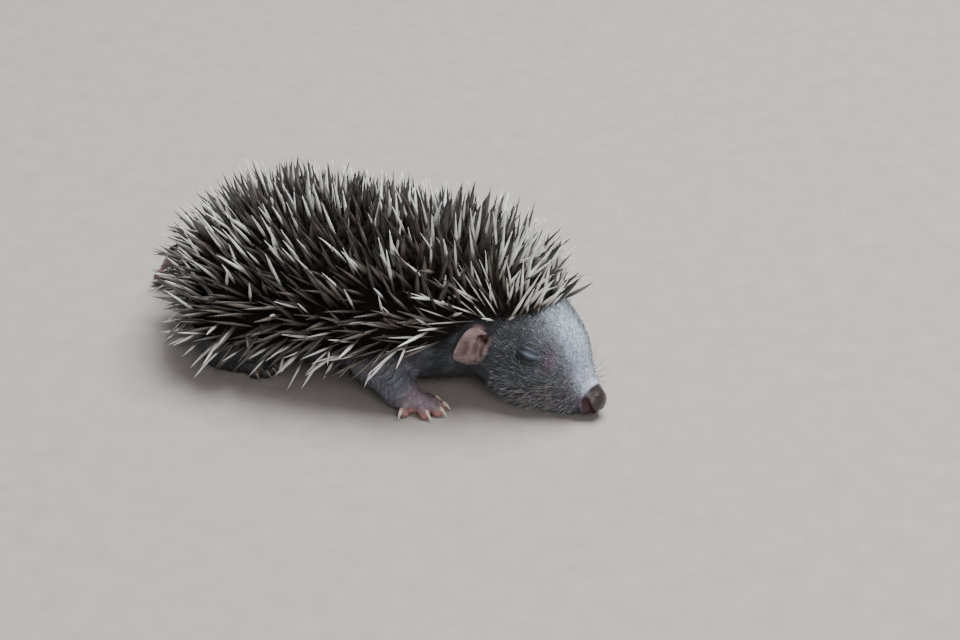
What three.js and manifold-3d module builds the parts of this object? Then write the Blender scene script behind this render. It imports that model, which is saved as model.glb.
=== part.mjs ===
// A hedgehog about twelve days old, life size, lying on its belly with its eyes still shut.
// Units are millimetres. +X is forward along the trunk, +Y is the animal's left, +Z is up.
// The origin is the point on the floor under the middle of the belly.
//
// Flesh is described by smooth fields: a field is negative inside the body and zero on its surface.
// wrap() walks out from a path inside a field and closes a ring mesh on its surface. Thin gaps part
// the flesh into head, neck, trunk, limbs and tail, and the spiny mantle lies over them as a thick
// shell whose outer face is the reach of the spine tips.
import * as THREE from "three";
import { mergeVertices } from "three/addons/utils/BufferGeometryUtils.js";
import Module from "manifold-3d";

const wasm = await Module();
wasm.setup();

// ---- Driving dimensions -------------------------------------------------------------------------
const GAP = 0.3; // between neighbouring pieces
const MANTLE_GAP = 0.6; // under the mantle, whose inner facets don't line up with the body's
const FLOOR_SPAN = 200; // of the blocks that trim everything at floor level

const BELLY_WIDTH = 20; // half width of the widest flesh
const BACK_HEIGHT = 31.7; // of the flesh, without spines
// How far the spine tips reach beyond the flesh, how deep the valleys between them are, and how far
// the tips lean back.
const COAT = { back: 11.2, rump: 7.2, brow: 7.4, hem: 6.0, valley: 4.2, lean: 1.8 };

const HEAD_AT = [36.8, -1.0, 13.8]; // middle of the skull
const HEAD_YAW = -19.5; // degrees, turned towards the animal's right
const HEAD_PITCH = 21; // degrees, nose down
const SKULL = [12.5, 10.2, 10.2];
const EYE = { forward: 8.6, up: 4.2, size: [2.8, 1.6, 2.1], proud: 0.7 };
const NOSE = { at: [22.5, 0, -2.1], size: [3.1, 3.5, 3.1], nostril: 0.75 };
const MOUTH_LINE = -6.4; // height of the lips in the head's own frame
const EAR = { forward: -1.7, up: 2.9, proud: 0.9, width: 3.9, height: 6.0, thick: 0.9, dish: 1.3 };

const TOE = { root: 1.4, tip: 1.05 }; // radii
const PALM = { fore: 3.0, hind: 4.4 }; // half lengths
const CLAW = { length: 1.9, radius: 0.48, hook: 0.35 };
const FORE_DIGITS = [
  { spread: -38, reach: 5.2 },
  { spread: -14, reach: 6.7 },
  { spread: 6, reach: 6.8 },
  { spread: 32, reach: 5.2 },
  { spread: 98, reach: 3.7 },
];
const HIND_DIGITS = [
  { spread: -30, reach: 4.8 },
  { spread: -13, reach: 6.2 },
  { spread: 1, reach: 6.6 },
  { spread: 15, reach: 6.1 },
  { spread: 34, reach: 4.6 },
];

const COLOURS = {
  skin: [0x6d7078, 0.62],
  paw: [0x8f7278, 0.5],
  ear: [0x8b7774, 0.55],
  nose: [0x35302f, 0.25],
  lid: [0x4c5158, 0.45],
  claw: [0xcfc3bb, 0.35],
  mantle: [0x4a443e, 0.6],
};

// ---- Frames -------------------------------------------------------------------------------------
// A frame is a Matrix4 whose axes are forward, left and up.
function frame([x, y, z], yaw = 0, pitch = 0, roll = 0) {
  const turn = new THREE.Euler(
    THREE.MathUtils.degToRad(roll),
    THREE.MathUtils.degToRad(pitch),
    THREE.MathUtils.degToRad(yaw),
    "ZYX",
  );
  return new THREE.Matrix4().makeRotationFromEuler(turn).setPosition(x, y, z);
}
const WORLD = new THREE.Matrix4();
const HEAD = frame(HEAD_AT, HEAD_YAW, HEAD_PITCH);
const at = (place, x, y, z) => new THREE.Vector3(x, y, z).applyMatrix4(place);

// ---- Fields -------------------------------------------------------------------------------------
function ball(centre, radii, place = WORLD) {
  const inverse = place.clone().invert();
  const [rx, ry, rz] = radii;
  const q = new THREE.Vector3();
  return (p) => {
    q.copy(p).applyMatrix4(inverse);
    const x = (q.x - centre[0]) / rx;
    const y = (q.y - centre[1]) / ry;
    const z = (q.z - centre[2]) / rz;
    const near = Math.hypot(x, y, z);
    return (near * (near - 1)) / (Math.hypot(x / rx, y / ry, z / rz) + 1e-9);
  };
}

function limb(from, to, fromRadius, toRadius, place = WORLD) {
  const a = at(place, ...from);
  const along = at(place, ...to).sub(a);
  const length2 = along.lengthSq();
  const q = new THREE.Vector3();
  return (p) => {
    q.subVectors(p, a);
    const t = THREE.MathUtils.clamp(q.dot(along) / length2, 0, 1);
    return q.addScaledVector(along, -t).length() - THREE.MathUtils.lerp(fromRadius, toRadius, t);
  };
}

function blend(softness, ...fields) {
  return (p) =>
    fields.reduce((sum, field) => {
      const next = field(p);
      if (sum === null) return next;
      const h = Math.max(softness - Math.abs(sum - next), 0) / softness;
      return Math.min(sum, next) - (h * h * softness) / 4;
    }, null);
}

function carve(softness, field, hollow) {
  return (p) => {
    const solid = field(p);
    const empty = -hollow(p);
    const h = Math.max(softness - Math.abs(solid - empty), 0) / softness;
    return Math.max(solid, empty) + (h * h * softness) / 4;
  };
}

const grow = (field, by) => (p) => field(p) - by;

// ---- Anatomy ------------------------------------------------------------------------------------
const torso = blend(
  9,
  ball([-23.5, 1.5, 13.8], [18.5, 17.8, 14.6]),
  ball([-8, 0.5, BACK_HEIGHT - 16.4], [25, BELLY_WIDTH, 16.4]),
  ball([13, 0, 15.6], [20, 17.4, 14.8]),
  limb([20, 0, 16], [33, -1, 16.2], 12.4, 11),
  limb([13, -12, 12], [10, -14.6, 9], 6, 4.6),
  limb([10, 12, 12], [7, 14.6, 9], 6, 4.6),
);

const skull = blend(
  4,
  ball([0, 0, 1.2], SKULL, HEAD),
  ball([7, 0, 2.2], [10.5, 8.4, 8.5], HEAD),
  limb([6, 0, -0.8], [19.5, 0, -2.3], 8.6, 4.5, HEAD),
  limb([4, 0, -5.3], [16.5, 0, -6.3], 6, 2.9, HEAD),
  ...[-1, 1].flatMap((side) => [
    ball([5.5, 6 * side, -4.6], [8.4, 5.5, 6], HEAD),
    limb([10.5, 4.4 * side, -5.2], [17.5, 2.8 * side, -5.6], 4.5, 2.8, HEAD),
  ]),
);

const body = blend(6, torso, skull);

const spine = new THREE.CatmullRomCurve3([
  new THREE.Vector3(-27, 1.5, 12.5),
  new THREE.Vector3(-8, 0.5, 14),
  new THREE.Vector3(12, 0.2, 14.8),
  new THREE.Vector3(28, -0.4, 15),
  at(HEAD, 3.5, 0, -0.6),
  at(HEAD, 15.5, 0, -3.4),
]);
const NECK_START = 0.56; // shares of the spine's length
const NECK_END = 0.68;
const BROW_END = 0.84;

// Places that differ between the limbs. side is -1 on the right and 1 on the left.
const FORELEGS = [
  {
    side: -1,
    name: "right",
    elbow: [8.6, -16.4, 8.4],
    wrist: [15.5, -19.3, 4.4],
    paw: frame([18.3, -19.1, 2.0], 0),
  },
  {
    side: 1,
    name: "left",
    elbow: [5.6, 16.4, 8.4],
    wrist: [12.5, 19.3, 4.4],
    paw: frame([15.3, 19.1, 2.0], 4),
  },
];
// The right hind foot is flat under the haunch. The left one trails behind on its toes, sole to the rear.
const HINDLEGS = [
  {
    side: -1,
    name: "right",
    thigh: [[-19, -14.5, 9], [-30, -14, 8]],
    shank: [[-25, -14, 9], [-28, -16.4, 3.6]],
    paw: frame([-22.4, -16.2, 2.0], -3),
  },
  {
    side: 1,
    name: "left",
    thigh: [[-19, 14.5, 9], [-48.5, 13, 8.6]],
    shank: [[-31, 12.8, 7], [-49.5, 13, 8.6]],
    paw: frame([-53.6, 13.1, 6.7], 180, 60, 180),
  },
];
const HAUNCH = [10.5, 7.5, 9.5];

// ---- Meshes -------------------------------------------------------------------------------------
const STEP = 0.5;
function reach(field, from, direction, far = 60) {
  const p = new THREE.Vector3();
  let low = 0;
  let high = STEP;
  while (high < far && field(p.copy(from).addScaledVector(direction, high)) < 0) high += STEP;
  low = high - STEP;
  for (let i = 0; i < 14; i += 1) {
    const middle = (low + high) / 2;
    if (field(p.copy(from).addScaledVector(direction, middle)) < 0) low = middle;
    else high = middle;
  }
  return low;
}

// The direction in which a field grows fastest, which is straight out of its surface.
function slope(field, p) {
  const step = 0.2;
  const change = (axis) => {
    const ahead = p.clone().addScaledVector(axis, step);
    const behind = p.clone().addScaledVector(axis, -step);
    return field(ahead) - field(behind);
  };
  const axes = [new THREE.Vector3(1, 0, 0), new THREE.Vector3(0, 1, 0), new THREE.Vector3(0, 0, 1)];
  return new THREE.Vector3(...axes.map(change)).normalize();
}

// Rings of points round a curve, from share start to share end of its length. An end with caps of 0
// is flat, and any other closes in a dome of that many rings. relief may move a point.
function wrap(field, curve, { start = 0, end = 1, rings, sides, caps = [3, 3], relief }) {
  const stations = [];
  const dome = (count, where, outward) => {
    for (let i = 1; i <= count; i += 1) {
      stations.push({ where, lift: ((Math.PI / 2) * i) / (count + 1) * outward });
    }
  };
  dome(caps[0], start, -1);
  stations.reverse();
  for (let i = 0; i <= rings; i += 1) {
    stations.push({ where: THREE.MathUtils.lerp(start, end, i / rings), lift: 0 });
  }
  dome(caps[1], end, 1);

  const points = [];
  const up = new THREE.Vector3(0, 0, 1);
  const push = (p) => points.push(p.x, p.y, p.z) / 3 - 1; // gives the new point's number
  const poles = [start, end].map((where, i) => {
    const centre = curve.getPointAt(where);
    const forward = curve.getTangentAt(where).multiplyScalar(i ? 1 : -1);
    if (caps[i]) centre.addScaledVector(forward, reach(field, centre, forward));
    return centre;
  });
  stations.forEach(({ where, lift }, row) => {
    const centre = curve.getPointAt(where);
    const forward = curve.getTangentAt(where);
    const left = new THREE.Vector3().crossVectors(up, forward).normalize();
    const above = new THREE.Vector3().crossVectors(forward, left);
    for (let i = 0; i < sides; i += 1) {
      const turn = (2 * Math.PI * i) / sides;
      const direction = new THREE.Vector3()
        .addScaledVector(left, Math.cos(turn) * Math.cos(lift))
        .addScaledVector(above, Math.sin(turn) * Math.cos(lift))
        .addScaledVector(forward, Math.sin(lift));
      const p = centre.clone().addScaledVector(direction, reach(field, centre, direction));
      if (relief) relief(p, direction, forward, (row + i) % 2);
      push(p);
    }
  });
  const faces = [];
  const index = (row, i) => row * sides + (i % sides);
  const [first, last] = poles.map(push);
  const rows = stations.length;
  for (let i = 0; i < sides; i += 1) {
    faces.push(first, index(0, i + 1), index(0, i));
    faces.push(last, index(rows - 1, i), index(rows - 1, i + 1));
    for (let row = 0; row + 1 < rows; row += 1) {
      const [a, b, c, d] = [index(row, i), index(row, i + 1), index(row + 1, i + 1), index(row + 1, i)];
      if ((row + i) % 2) faces.push(a, b, c, a, c, d);
      else faces.push(a, b, d, b, c, d);
    }
  }
  return new THREE.BufferGeometry()
    .setAttribute("position", new THREE.Float32BufferAttribute(points, 3))
    .setIndex(faces);
}

// A dished leaf in the plane of X and Z, rim towards +X and +Z, with its hollow face towards +Y.
function leaf({ width, height, thick, dish }, rings = 3, sides = 14) {
  const points = [];
  const faces = [];
  const rim = (turn) => 1 - 0.16 * Math.max(0, Math.sin(turn + 0.5)) ** 2;
  for (const face of [1, -1]) {
    for (let ring = 0; ring < rings; ring += 1) {
      const r = ring / rings;
      for (let i = 0; i < sides; i += 1) {
        const turn = (2 * Math.PI * i) / sides;
        const depth = dish * r * r + (face * thick * (1 - r ** 6)) / 2;
        points.push(width * r * Math.cos(turn) * rim(turn), depth, height * r * Math.sin(turn) * rim(turn));
      }
    }
  }
  const rimStart = points.length / 3;
  for (let i = 0; i < sides; i += 1) {
    const turn = (2 * Math.PI * i) / sides;
    points.push(width * Math.cos(turn) * rim(turn), dish, height * Math.sin(turn) * rim(turn));
  }
  const index = (face, ring, i) =>
    ring === rings ? rimStart + (i % sides) : (face * rings + ring) * sides + (i % sides);
  for (const face of [0, 1]) {
    for (let ring = 0; ring < rings; ring += 1) {
      for (let i = 0; i < sides; i += 1) {
        const quad = [
          index(face, ring, i),
          index(face, ring, i + 1),
          index(face, ring + 1, i + 1),
          index(face, ring + 1, i),
        ];
        const [a, b, c, d] = face ? quad.reverse() : quad;
        faces.push(a, b, c, a, c, d);
      }
    }
  }
  return new THREE.BufferGeometry()
    .setAttribute("position", new THREE.Float32BufferAttribute(points, 3))
    .setIndex(faces);
}

// ---- Solids -------------------------------------------------------------------------------------
function solid(geometry) {
  const bare = geometry.clone();
  bare.deleteAttribute("normal");
  bare.deleteAttribute("uv");
  const merged = mergeVertices(bare, 1e-3);
  const corners = merged.index.array;
  const kept = [];
  for (let i = 0; i < corners.length; i += 3) {
    const [a, b, c] = [corners[i], corners[i + 1], corners[i + 2]];
    if (a !== b && b !== c && c !== a) kept.push(a, b, c);
  }
  return new wasm.Manifold(
    new wasm.Mesh({
      numProp: 3,
      vertProperties: merged.attributes.position.array,
      triVerts: new Uint32Array(kept),
    }),
  );
}

function block([x0, y0, z0], [x1, y1, z1], place = WORLD) {
  const box = new THREE.BoxGeometry(x1 - x0, y1 - y0, z1 - z0);
  box.translate((x0 + x1) / 2, (y0 + y1) / 2, (z0 + z1) / 2).applyMatrix4(place);
  return solid(box);
}

// A prism that runs across the body: the side profile is a list of [forward, up] in the place's frame.
function acrossProfile(profile, place = WORLD) {
  const shape = new THREE.Shape(profile.map(([x, z]) => new THREE.Vector2(x, z)));
  const half = FLOOR_SPAN / 2;
  const prism = new THREE.ExtrudeGeometry(shape, { depth: 2 * half, bevelEnabled: false });
  prism.rotateX(Math.PI / 2).translate(0, half, 0).applyMatrix4(place);
  return solid(prism);
}

const aboveFloor = block(
  [-FLOOR_SPAN, -FLOOR_SPAN, 0],
  [FLOOR_SPAN, FLOOR_SPAN, FLOOR_SPAN],
);
const onFloor = (piece) => piece.intersect(aboveFloor);
const largest = (piece) => piece.decompose().sort((a, b) => b.volume() - a.volume())[0];

function geometryOf(piece) {
  const mesh = piece.getMesh();
  const count = mesh.numProp;
  const position = new Float32Array(mesh.numVert * 3);
  for (let i = 0; i < mesh.numVert; i += 1) {
    position.set(mesh.vertProperties.subarray(i * count, i * count + 3), i * 3);
  }
  const geometry = new THREE.BufferGeometry()
    .setAttribute("position", new THREE.BufferAttribute(position, 3))
    .setIndex(new THREE.BufferAttribute(mesh.triVerts, 1));
  geometry.computeVertexNormals();
  return geometry;
}

const materials = Object.fromEntries(
  Object.entries(COLOURS).map(([key, [color, roughness]]) => [
    key,
    new THREE.MeshStandardMaterial({ color, roughness, metalness: 0, flatShading: true }),
  ]),
);
const hedgehog = new THREE.Group();
// A cut can leave a sliver behind a thin edge, so only the largest body of each piece is kept.
function add(name, piece, material) {
  const mesh = new THREE.Mesh(geometryOf(largest(onFloor(piece))), materials[material]);
  mesh.name = name;
  hedgehog.add(mesh);
}

// ---- Trunk, neck and head -----------------------------------------------------------------------
const gapShare = GAP / 2 / spine.getLength();
const trunk = solid(
  wrap(torso, spine, { end: NECK_START - gapShare, rings: 8, sides: 20, caps: [4, 0] }),
);
const neck = solid(
  wrap(body, spine, {
    start: NECK_START + gapShare,
    end: NECK_END - gapShare,
    rings: 2,
    sides: 20,
    caps: [0, 0],
  }),
);
const wholeHead = solid(
  wrap(body, spine, { start: NECK_END + gapShare, rings: 8, sides: 20, caps: [0, 4] }),
);
const bodyCutter = (gap) =>
  solid(wrap(grow(body, gap), spine, { rings: 14, sides: 20, caps: [4, 4] }));
const grownBody = bodyCutter(GAP);

// The closed lids stand proud of the skin by the given amount.
function eye(side, extra = 0) {
  const sideways = new THREE.Vector3(0, side, 0).transformDirection(HEAD);
  const skin = reach(skull, at(HEAD, EYE.forward, 0, EYE.up), sideways);
  const middle = [EYE.forward, side * (skin + EYE.proud - EYE.size[1]), EYE.up];
  const path = new THREE.LineCurve3(
    at(HEAD, middle[0] - 1.2, middle[1], middle[2]),
    at(HEAD, middle[0] + 1.2, middle[1], middle[2]),
  );
  const field = grow(ball(middle, EYE.size, HEAD), extra);
  return solid(wrap(field, path, { rings: 1, sides: 8, caps: [2, 2] }));
}

function noseField(extra = 0) {
  const ends = NOSE.nostril;
  const holes = [-1, 1].map((side) =>
    limb([NOSE.at[0] + 1.4, 2.2 * side, -2.2], [NOSE.at[0] + 0.2, 3.6 * side, -2.5], ends, ends, HEAD),
  );
  return grow(carve(0.4, ball(NOSE.at, NOSE.size, HEAD), blend(0.2, ...holes)), extra);
}
const nosePath = new THREE.LineCurve3(
  at(HEAD, NOSE.at[0] - 1.2, 0, NOSE.at[2]),
  at(HEAD, NOSE.at[0] + 0.8, 0, NOSE.at[2]),
);
const nose = solid(wrap(noseField(), nosePath, { rings: 2, sides: 16, caps: [2, 4] }));
const noseSocket = solid(
  wrap(grow(ball(NOSE.at, NOSE.size, HEAD), GAP), nosePath, { rings: 1, sides: 12, caps: [3, 3] }),
);

const jawFrom = 4.5;
const jawRegion = (edge) => block([jawFrom - edge, -20, -30], [40, 20, MOUTH_LINE + edge], HEAD);
let face = wholeHead.subtract(noseSocket).subtract(jawRegion(GAP));
[-1, 1].forEach((side) => {
  face = face.subtract(eye(side, GAP));
});
const jaw = wholeHead.intersect(jawRegion(0)).subtract(noseSocket);

// ---- Ears ---------------------------------------------------------------------------------------
function ear(side, extra = 0) {
  const grown = {
    ...EAR,
    thick: EAR.thick + 2 * extra,
    width: EAR.width + extra,
    height: EAR.height + extra,
    dish: EAR.dish * (1 + extra / EAR.height) ** 2,
  };
  const shape = leaf(grown);
  const sideways = new THREE.Vector3(0, side, 0).transformDirection(HEAD);
  const middle = at(HEAD, EAR.forward, 0, EAR.up);
  middle.addScaledVector(sideways, reach(body, middle, sideways) + EAR.proud);
  // The ear lies flat on the head: its own axes are front, out and up.
  const out = slope(body, middle);
  const up = new THREE.Vector3(0, 0, 1).transformDirection(HEAD);
  const front = new THREE.Vector3().crossVectors(out, up).normalize().multiplyScalar(side);
  up.crossVectors(front, out).multiplyScalar(side);
  if (side < 0) {
    shape.scale(1, -1, 1);
    shape.index.array.reverse();
    out.negate();
  }
  const lie = new THREE.Matrix4().makeBasis(front, out, up).setPosition(middle);
  return solid(shape.applyMatrix4(lie));
}

// ---- Limbs --------------------------------------------------------------------------------------
function digitPath({ spread, reach: length }, side, share) {
  const turn = THREE.MathUtils.degToRad(spread);
  return [Math.cos(turn) * length * share, Math.sin(turn) * length * share * side];
}

// A hooked cone just beyond a toe's end.
function claw(paw, digit, side) {
  const turn = THREE.MathUtils.degToRad(digit.spread) * side;
  const rings = 2;
  const sides = 6;
  const points = [];
  const faces = [];
  for (let ring = 0; ring <= rings; ring += 1) {
    const t = (0.85 * ring) / rings;
    const radius = CLAW.radius * Math.sqrt(1 - t);
    for (let i = 0; i < sides; i += 1) {
      const a = (2 * Math.PI * i) / sides;
      points.push(
        t * CLAW.length,
        radius * Math.cos(a) * 0.85,
        radius * Math.sin(a) - CLAW.hook * t * t,
      );
    }
  }
  const [base, tip] = [(rings + 1) * sides, (rings + 1) * sides + 1];
  points.push(0, 0, 0, CLAW.length, 0, -CLAW.hook);
  for (let i = 0; i < sides; i += 1) {
    const j = (i + 1) % sides;
    faces.push(base, j, i, tip, rings * sides + i, rings * sides + j);
    for (let ring = 0; ring < rings; ring += 1) {
      const [a, b] = [ring * sides + i, ring * sides + j];
      faces.push(a, b, b + sides, a, b + sides, a + sides);
    }
  }
  const geometry = new THREE.BufferGeometry()
    .setAttribute("position", new THREE.Float32BufferAttribute(points, 3))
    .setIndex(faces);
  const [x, y] = digitPath(digit, side, 1);
  geometry.rotateY(THREE.MathUtils.degToRad(10)).rotateZ(turn);
  const beyond = TOE.tip + GAP;
  geometry.translate(x + beyond * Math.cos(turn), y + beyond * Math.sin(turn), -1.15);
  return solid(geometry.applyMatrix4(paw));
}

function palm(place, palmLength, extra = 0) {
  const field = grow(ball([0, 0, 0], [palmLength, 3.1, 2.1], place), extra);
  const path = new THREE.LineCurve3(
    at(place, -palmLength / 2, 0, -0.2),
    at(place, palmLength / 2, 0, -0.2),
  );
  return solid(wrap(field, path, { rings: 1, sides: 9, caps: [2, 2] }));
}

function paw(place, digits, side, palmLength) {
  let whole = palm(place, palmLength);
  for (const digit of digits) {
    const [x0, y0] = digitPath(digit, side, 0.35);
    const [x1, y1] = digitPath(digit, side, 1);
    const toe = limb([x0, y0, -0.3], [x1, y1, -1.25], TOE.root, TOE.tip, place);
    const toePath = new THREE.LineCurve3(at(place, x0, y0, -0.3), at(place, x1, y1, -1.25));
    whole = whole.add(solid(wrap(toe, toePath, { rings: 1, sides: 6, caps: [0, 1] })));
  }
  return whole;
}

function addPaw(name, digits, { side, paw: place }, palmLength, cutters) {
  let whole = paw(place, digits, side, palmLength);
  for (const cutter of cutters) whole = whole.subtract(cutter);
  add(`${name}_paw`, whole, "paw");
  digits.forEach((digit, i) => {
    add(`${name}_claw_${i + 1}`, claw(place, digit, side), "claw");
  });
}

const legCutters = [];
function addLeg(name, field, path, rings) {
  const shape = { rings, sides: 13, caps: [3, 2] };
  const grown = solid(wrap(grow(field, GAP), path, shape));
  legCutters.push(grown);
  add(name, solid(wrap(field, path, shape)).subtract(grownBody), "skin");
  return grown;
}
for (const leg of FORELEGS) {
  const knuckles = at(leg.paw, -0.5, 0, 0.2).toArray();
  const field = blend(3, limb(leg.elbow, leg.wrist, 4.3, 3.2), limb(leg.wrist, knuckles, 3.1, 2.2));
  const path = new THREE.LineCurve3(new THREE.Vector3(...leg.elbow), new THREE.Vector3(...knuckles));
  const grown = addLeg(`foreleg_${leg.name}`, field, path, 5);
  addPaw(`fore_${leg.name}`, FORE_DIGITS, leg, PALM.fore, [grown, grownBody]);
}
for (const leg of HINDLEGS) {
  const [hip, heel] = leg.shank;
  const field = blend(
    4,
    ball([-24.7, 14.3 * leg.side, HAUNCH[2] + 0.4], HAUNCH),
    limb(hip, heel, 5, 2.9),
    limb(heel, at(leg.paw, -2, 0, 0).toArray(), 2.7, 2.3),
  );
  const path = new THREE.LineCurve3(...leg.thigh.map((p) => new THREE.Vector3(...p)));
  const grown = addLeg(`hindleg_${leg.name}`, field, path, 6);
  addPaw(`hind_${leg.name}`, HIND_DIGITS, leg, PALM.hind, [grown, grownBody]);
  legCutters.push(palm(leg.paw, PALM.hind, GAP));
}

// ---- Tail ---------------------------------------------------------------------------------------
const tailFrom = [-39, 0.8, 11];
const tailTo = [-48.5, -1.0, 9.2];
const tailField = (extra) => limb(tailFrom, tailTo, 2.9 + extra, 1.1 + extra);
const tailPath = new THREE.LineCurve3(new THREE.Vector3(...tailFrom), new THREE.Vector3(...tailTo));
const tail = (extra) => solid(wrap(tailField(extra), tailPath, { rings: 2, sides: 8, caps: [1, 2] }));

// ---- Spiny mantle -------------------------------------------------------------------------------
const coatReach = (p) => {
  const { lerp, smoothstep } = THREE.MathUtils;
  const atEnds = lerp(COAT.back, COAT.rump, smoothstep(-p.x, 22, 44));
  const above = lerp(atEnds, COAT.brow, smoothstep(p.x, 30, 44));
  return lerp(Math.min(above, COAT.hem), above, smoothstep(p.z, 5, 24));
};
const mantleBody = blend(8, torso, ball([0, 0, 1.2], SKULL, HEAD), ball([6, 0, 1.7], [9.5, 8.2, 8.4], HEAD));
const coat = (p) => mantleBody(p) - coatReach(p);
const spiky = (p, outward, forward, isValley) => {
  if (isValley) p.addScaledVector(outward, -COAT.valley);
  else p.addScaledVector(forward, -COAT.lean);
};
const coatWhole = solid(
  wrap(coat, spine, { end: BROW_END, rings: 20, sides: 32, caps: [5, 3], relief: spiky }),
);

// The free edge of the mantle, in the trunk's frame and, over the brow, in the head's.
const trunkHem = acrossProfile([
  [-90, 4.2],
  [-14, 4.2],
  [4, 6.6],
  [16, 10.5],
  [25, 13.5],
  [34, 18],
  [34, 90],
  [-90, 90],
]);
const headHem = acrossProfile(
  [
    [-18, -1.5],
    [-8, 6.2],
    [-1, 10],
    [5, 11.8],
    [8, 16],
    [9.5, 24],
    [-18, 24],
  ],
  HEAD,
);
const CROWN_FROM = 26.5;
const RUMP_TO = -20;
const slice = (from, to) => block([from, -FLOOR_SPAN, -1], [to, FLOOR_SPAN, FLOOR_SPAN]);
let shell = coatWhole.subtract(bodyCutter(MANTLE_GAP)).subtract(tail(GAP));
for (const cutter of [...legCutters, ear(-1, GAP), ear(1, GAP)]) shell = shell.subtract(cutter);

add("trunk", trunk, "skin");
const withoutEars = (piece) => piece.subtract(ear(-1, GAP)).subtract(ear(1, GAP));
add("neck", withoutEars(neck), "skin");
add("head", withoutEars(face), "skin");
add("jaw", jaw, "skin");
add("nose", nose, "nose");
for (const [side, name] of [[-1, "right"], [1, "left"]]) {
  add(`eye_${name}`, eye(side), "lid");
  add(`ear_${name}`, ear(side), "ear");
}
add("tail", tail(0).subtract(grownBody), "paw");
add("mantle_rump", shell.intersect(trunkHem).intersect(slice(-90, RUMP_TO - GAP)), "mantle");
add("mantle_back", shell.intersect(trunkHem).intersect(slice(RUMP_TO, CROWN_FROM - GAP)), "mantle");
add("mantle_crown", shell.intersect(headHem).intersect(slice(CROWN_FROM, 90)), "mantle");

export default hedgehog;
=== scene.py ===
# A hedgehog about twelve days old, life size, lying on its belly with its eyes still shut.
# Shapes are worked out in millimetres in the frame of the CAD part and scaled to metres at the end.
import math

import bpy
import numpy as np
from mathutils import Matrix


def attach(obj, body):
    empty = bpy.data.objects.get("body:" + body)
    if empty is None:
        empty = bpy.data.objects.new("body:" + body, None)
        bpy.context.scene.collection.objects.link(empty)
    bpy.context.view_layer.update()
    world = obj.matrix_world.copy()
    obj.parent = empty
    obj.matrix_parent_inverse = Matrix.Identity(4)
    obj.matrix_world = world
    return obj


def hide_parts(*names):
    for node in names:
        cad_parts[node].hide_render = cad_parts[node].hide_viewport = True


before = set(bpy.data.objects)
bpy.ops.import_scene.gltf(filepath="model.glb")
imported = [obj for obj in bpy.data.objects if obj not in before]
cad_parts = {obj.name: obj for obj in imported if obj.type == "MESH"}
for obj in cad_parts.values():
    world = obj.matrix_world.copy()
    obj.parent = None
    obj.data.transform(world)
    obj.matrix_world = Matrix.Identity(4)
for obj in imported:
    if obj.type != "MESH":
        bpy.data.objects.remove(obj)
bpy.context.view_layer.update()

import openvdb as vdb

MM = 0.001
CELL = 0.25  # of the grid that holds the flesh's field
FAR = 6.0  # the field's value away from the surface
SKIN_INSET = 0.12  # the skin lies this far inside the solids
SEED = 20
SIDES = ((-1, "right"), (1, "left"))


# ---- Frames and fields ---------------------------------------------------------------------------
def unit(v):
    return v / np.maximum(np.linalg.norm(v, axis=-1, keepdims=True), 1e-9)


def smoothstep(x, low, high):
    t = np.clip((x - low) / (high - low), 0, 1)
    return t * t * (3 - 2 * t)


class Place:
    """An origin and three axes, forward, left and up, turned by yaw, then pitch, then roll in degrees."""

    def __init__(self, at, yaw=0, pitch=0, roll=0):
        y, p, r = np.radians([yaw, pitch, roll])
        turn_z = np.array([[math.cos(y), -math.sin(y), 0], [math.sin(y), math.cos(y), 0], [0, 0, 1]])
        turn_y = np.array([[math.cos(p), 0, math.sin(p)], [0, 1, 0], [-math.sin(p), 0, math.cos(p)]])
        turn_x = np.array([[1, 0, 0], [0, math.cos(r), -math.sin(r)], [0, math.sin(r), math.cos(r)]])
        self.at = np.array(at, float)
        self.axes = turn_z @ turn_y @ turn_x

    def out(self, *point):
        """From this place's own coordinates to the part's."""
        return self.at + self.axes @ np.array(point, float)

    def turn(self, *direction):
        return self.axes @ np.array(direction, float)

    def into(self, points):
        """From the part's coordinates to this place's own. Points are an array with rows of x, y, z."""
        return (points - self.at) @ self.axes


WORLD = Place((0, 0, 0))


def ball(centre, radii, place=WORLD):
    radii = np.array(radii, float)

    def field(points):
        q = place.into(points) - np.array(centre, float)
        near = np.linalg.norm(q / radii, axis=-1)
        return near * (near - 1) / (np.linalg.norm(q / radii**2, axis=-1) + 1e-9)

    return field, place.out(*centre), float(radii.max())


def limb(start, end, start_radius, end_radius, place=WORLD):
    a, b = place.out(*start), place.out(*end)

    def field(points):
        q = points - a
        t = np.clip(q @ (b - a) / ((b - a) @ (b - a)), 0, 1)
        return np.linalg.norm(q - t[..., None] * (b - a), axis=-1) - (start_radius * (1 - t) + end_radius * t)

    reach = np.linalg.norm(b - a) / 2 + max(start_radius, end_radius)
    return field, (a + b) / 2, float(reach)


def smooth_min(a, b, softness):
    h = np.maximum(softness - np.abs(a - b), 0) / softness
    return np.minimum(a, b) - h * h * softness / 4


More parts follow.
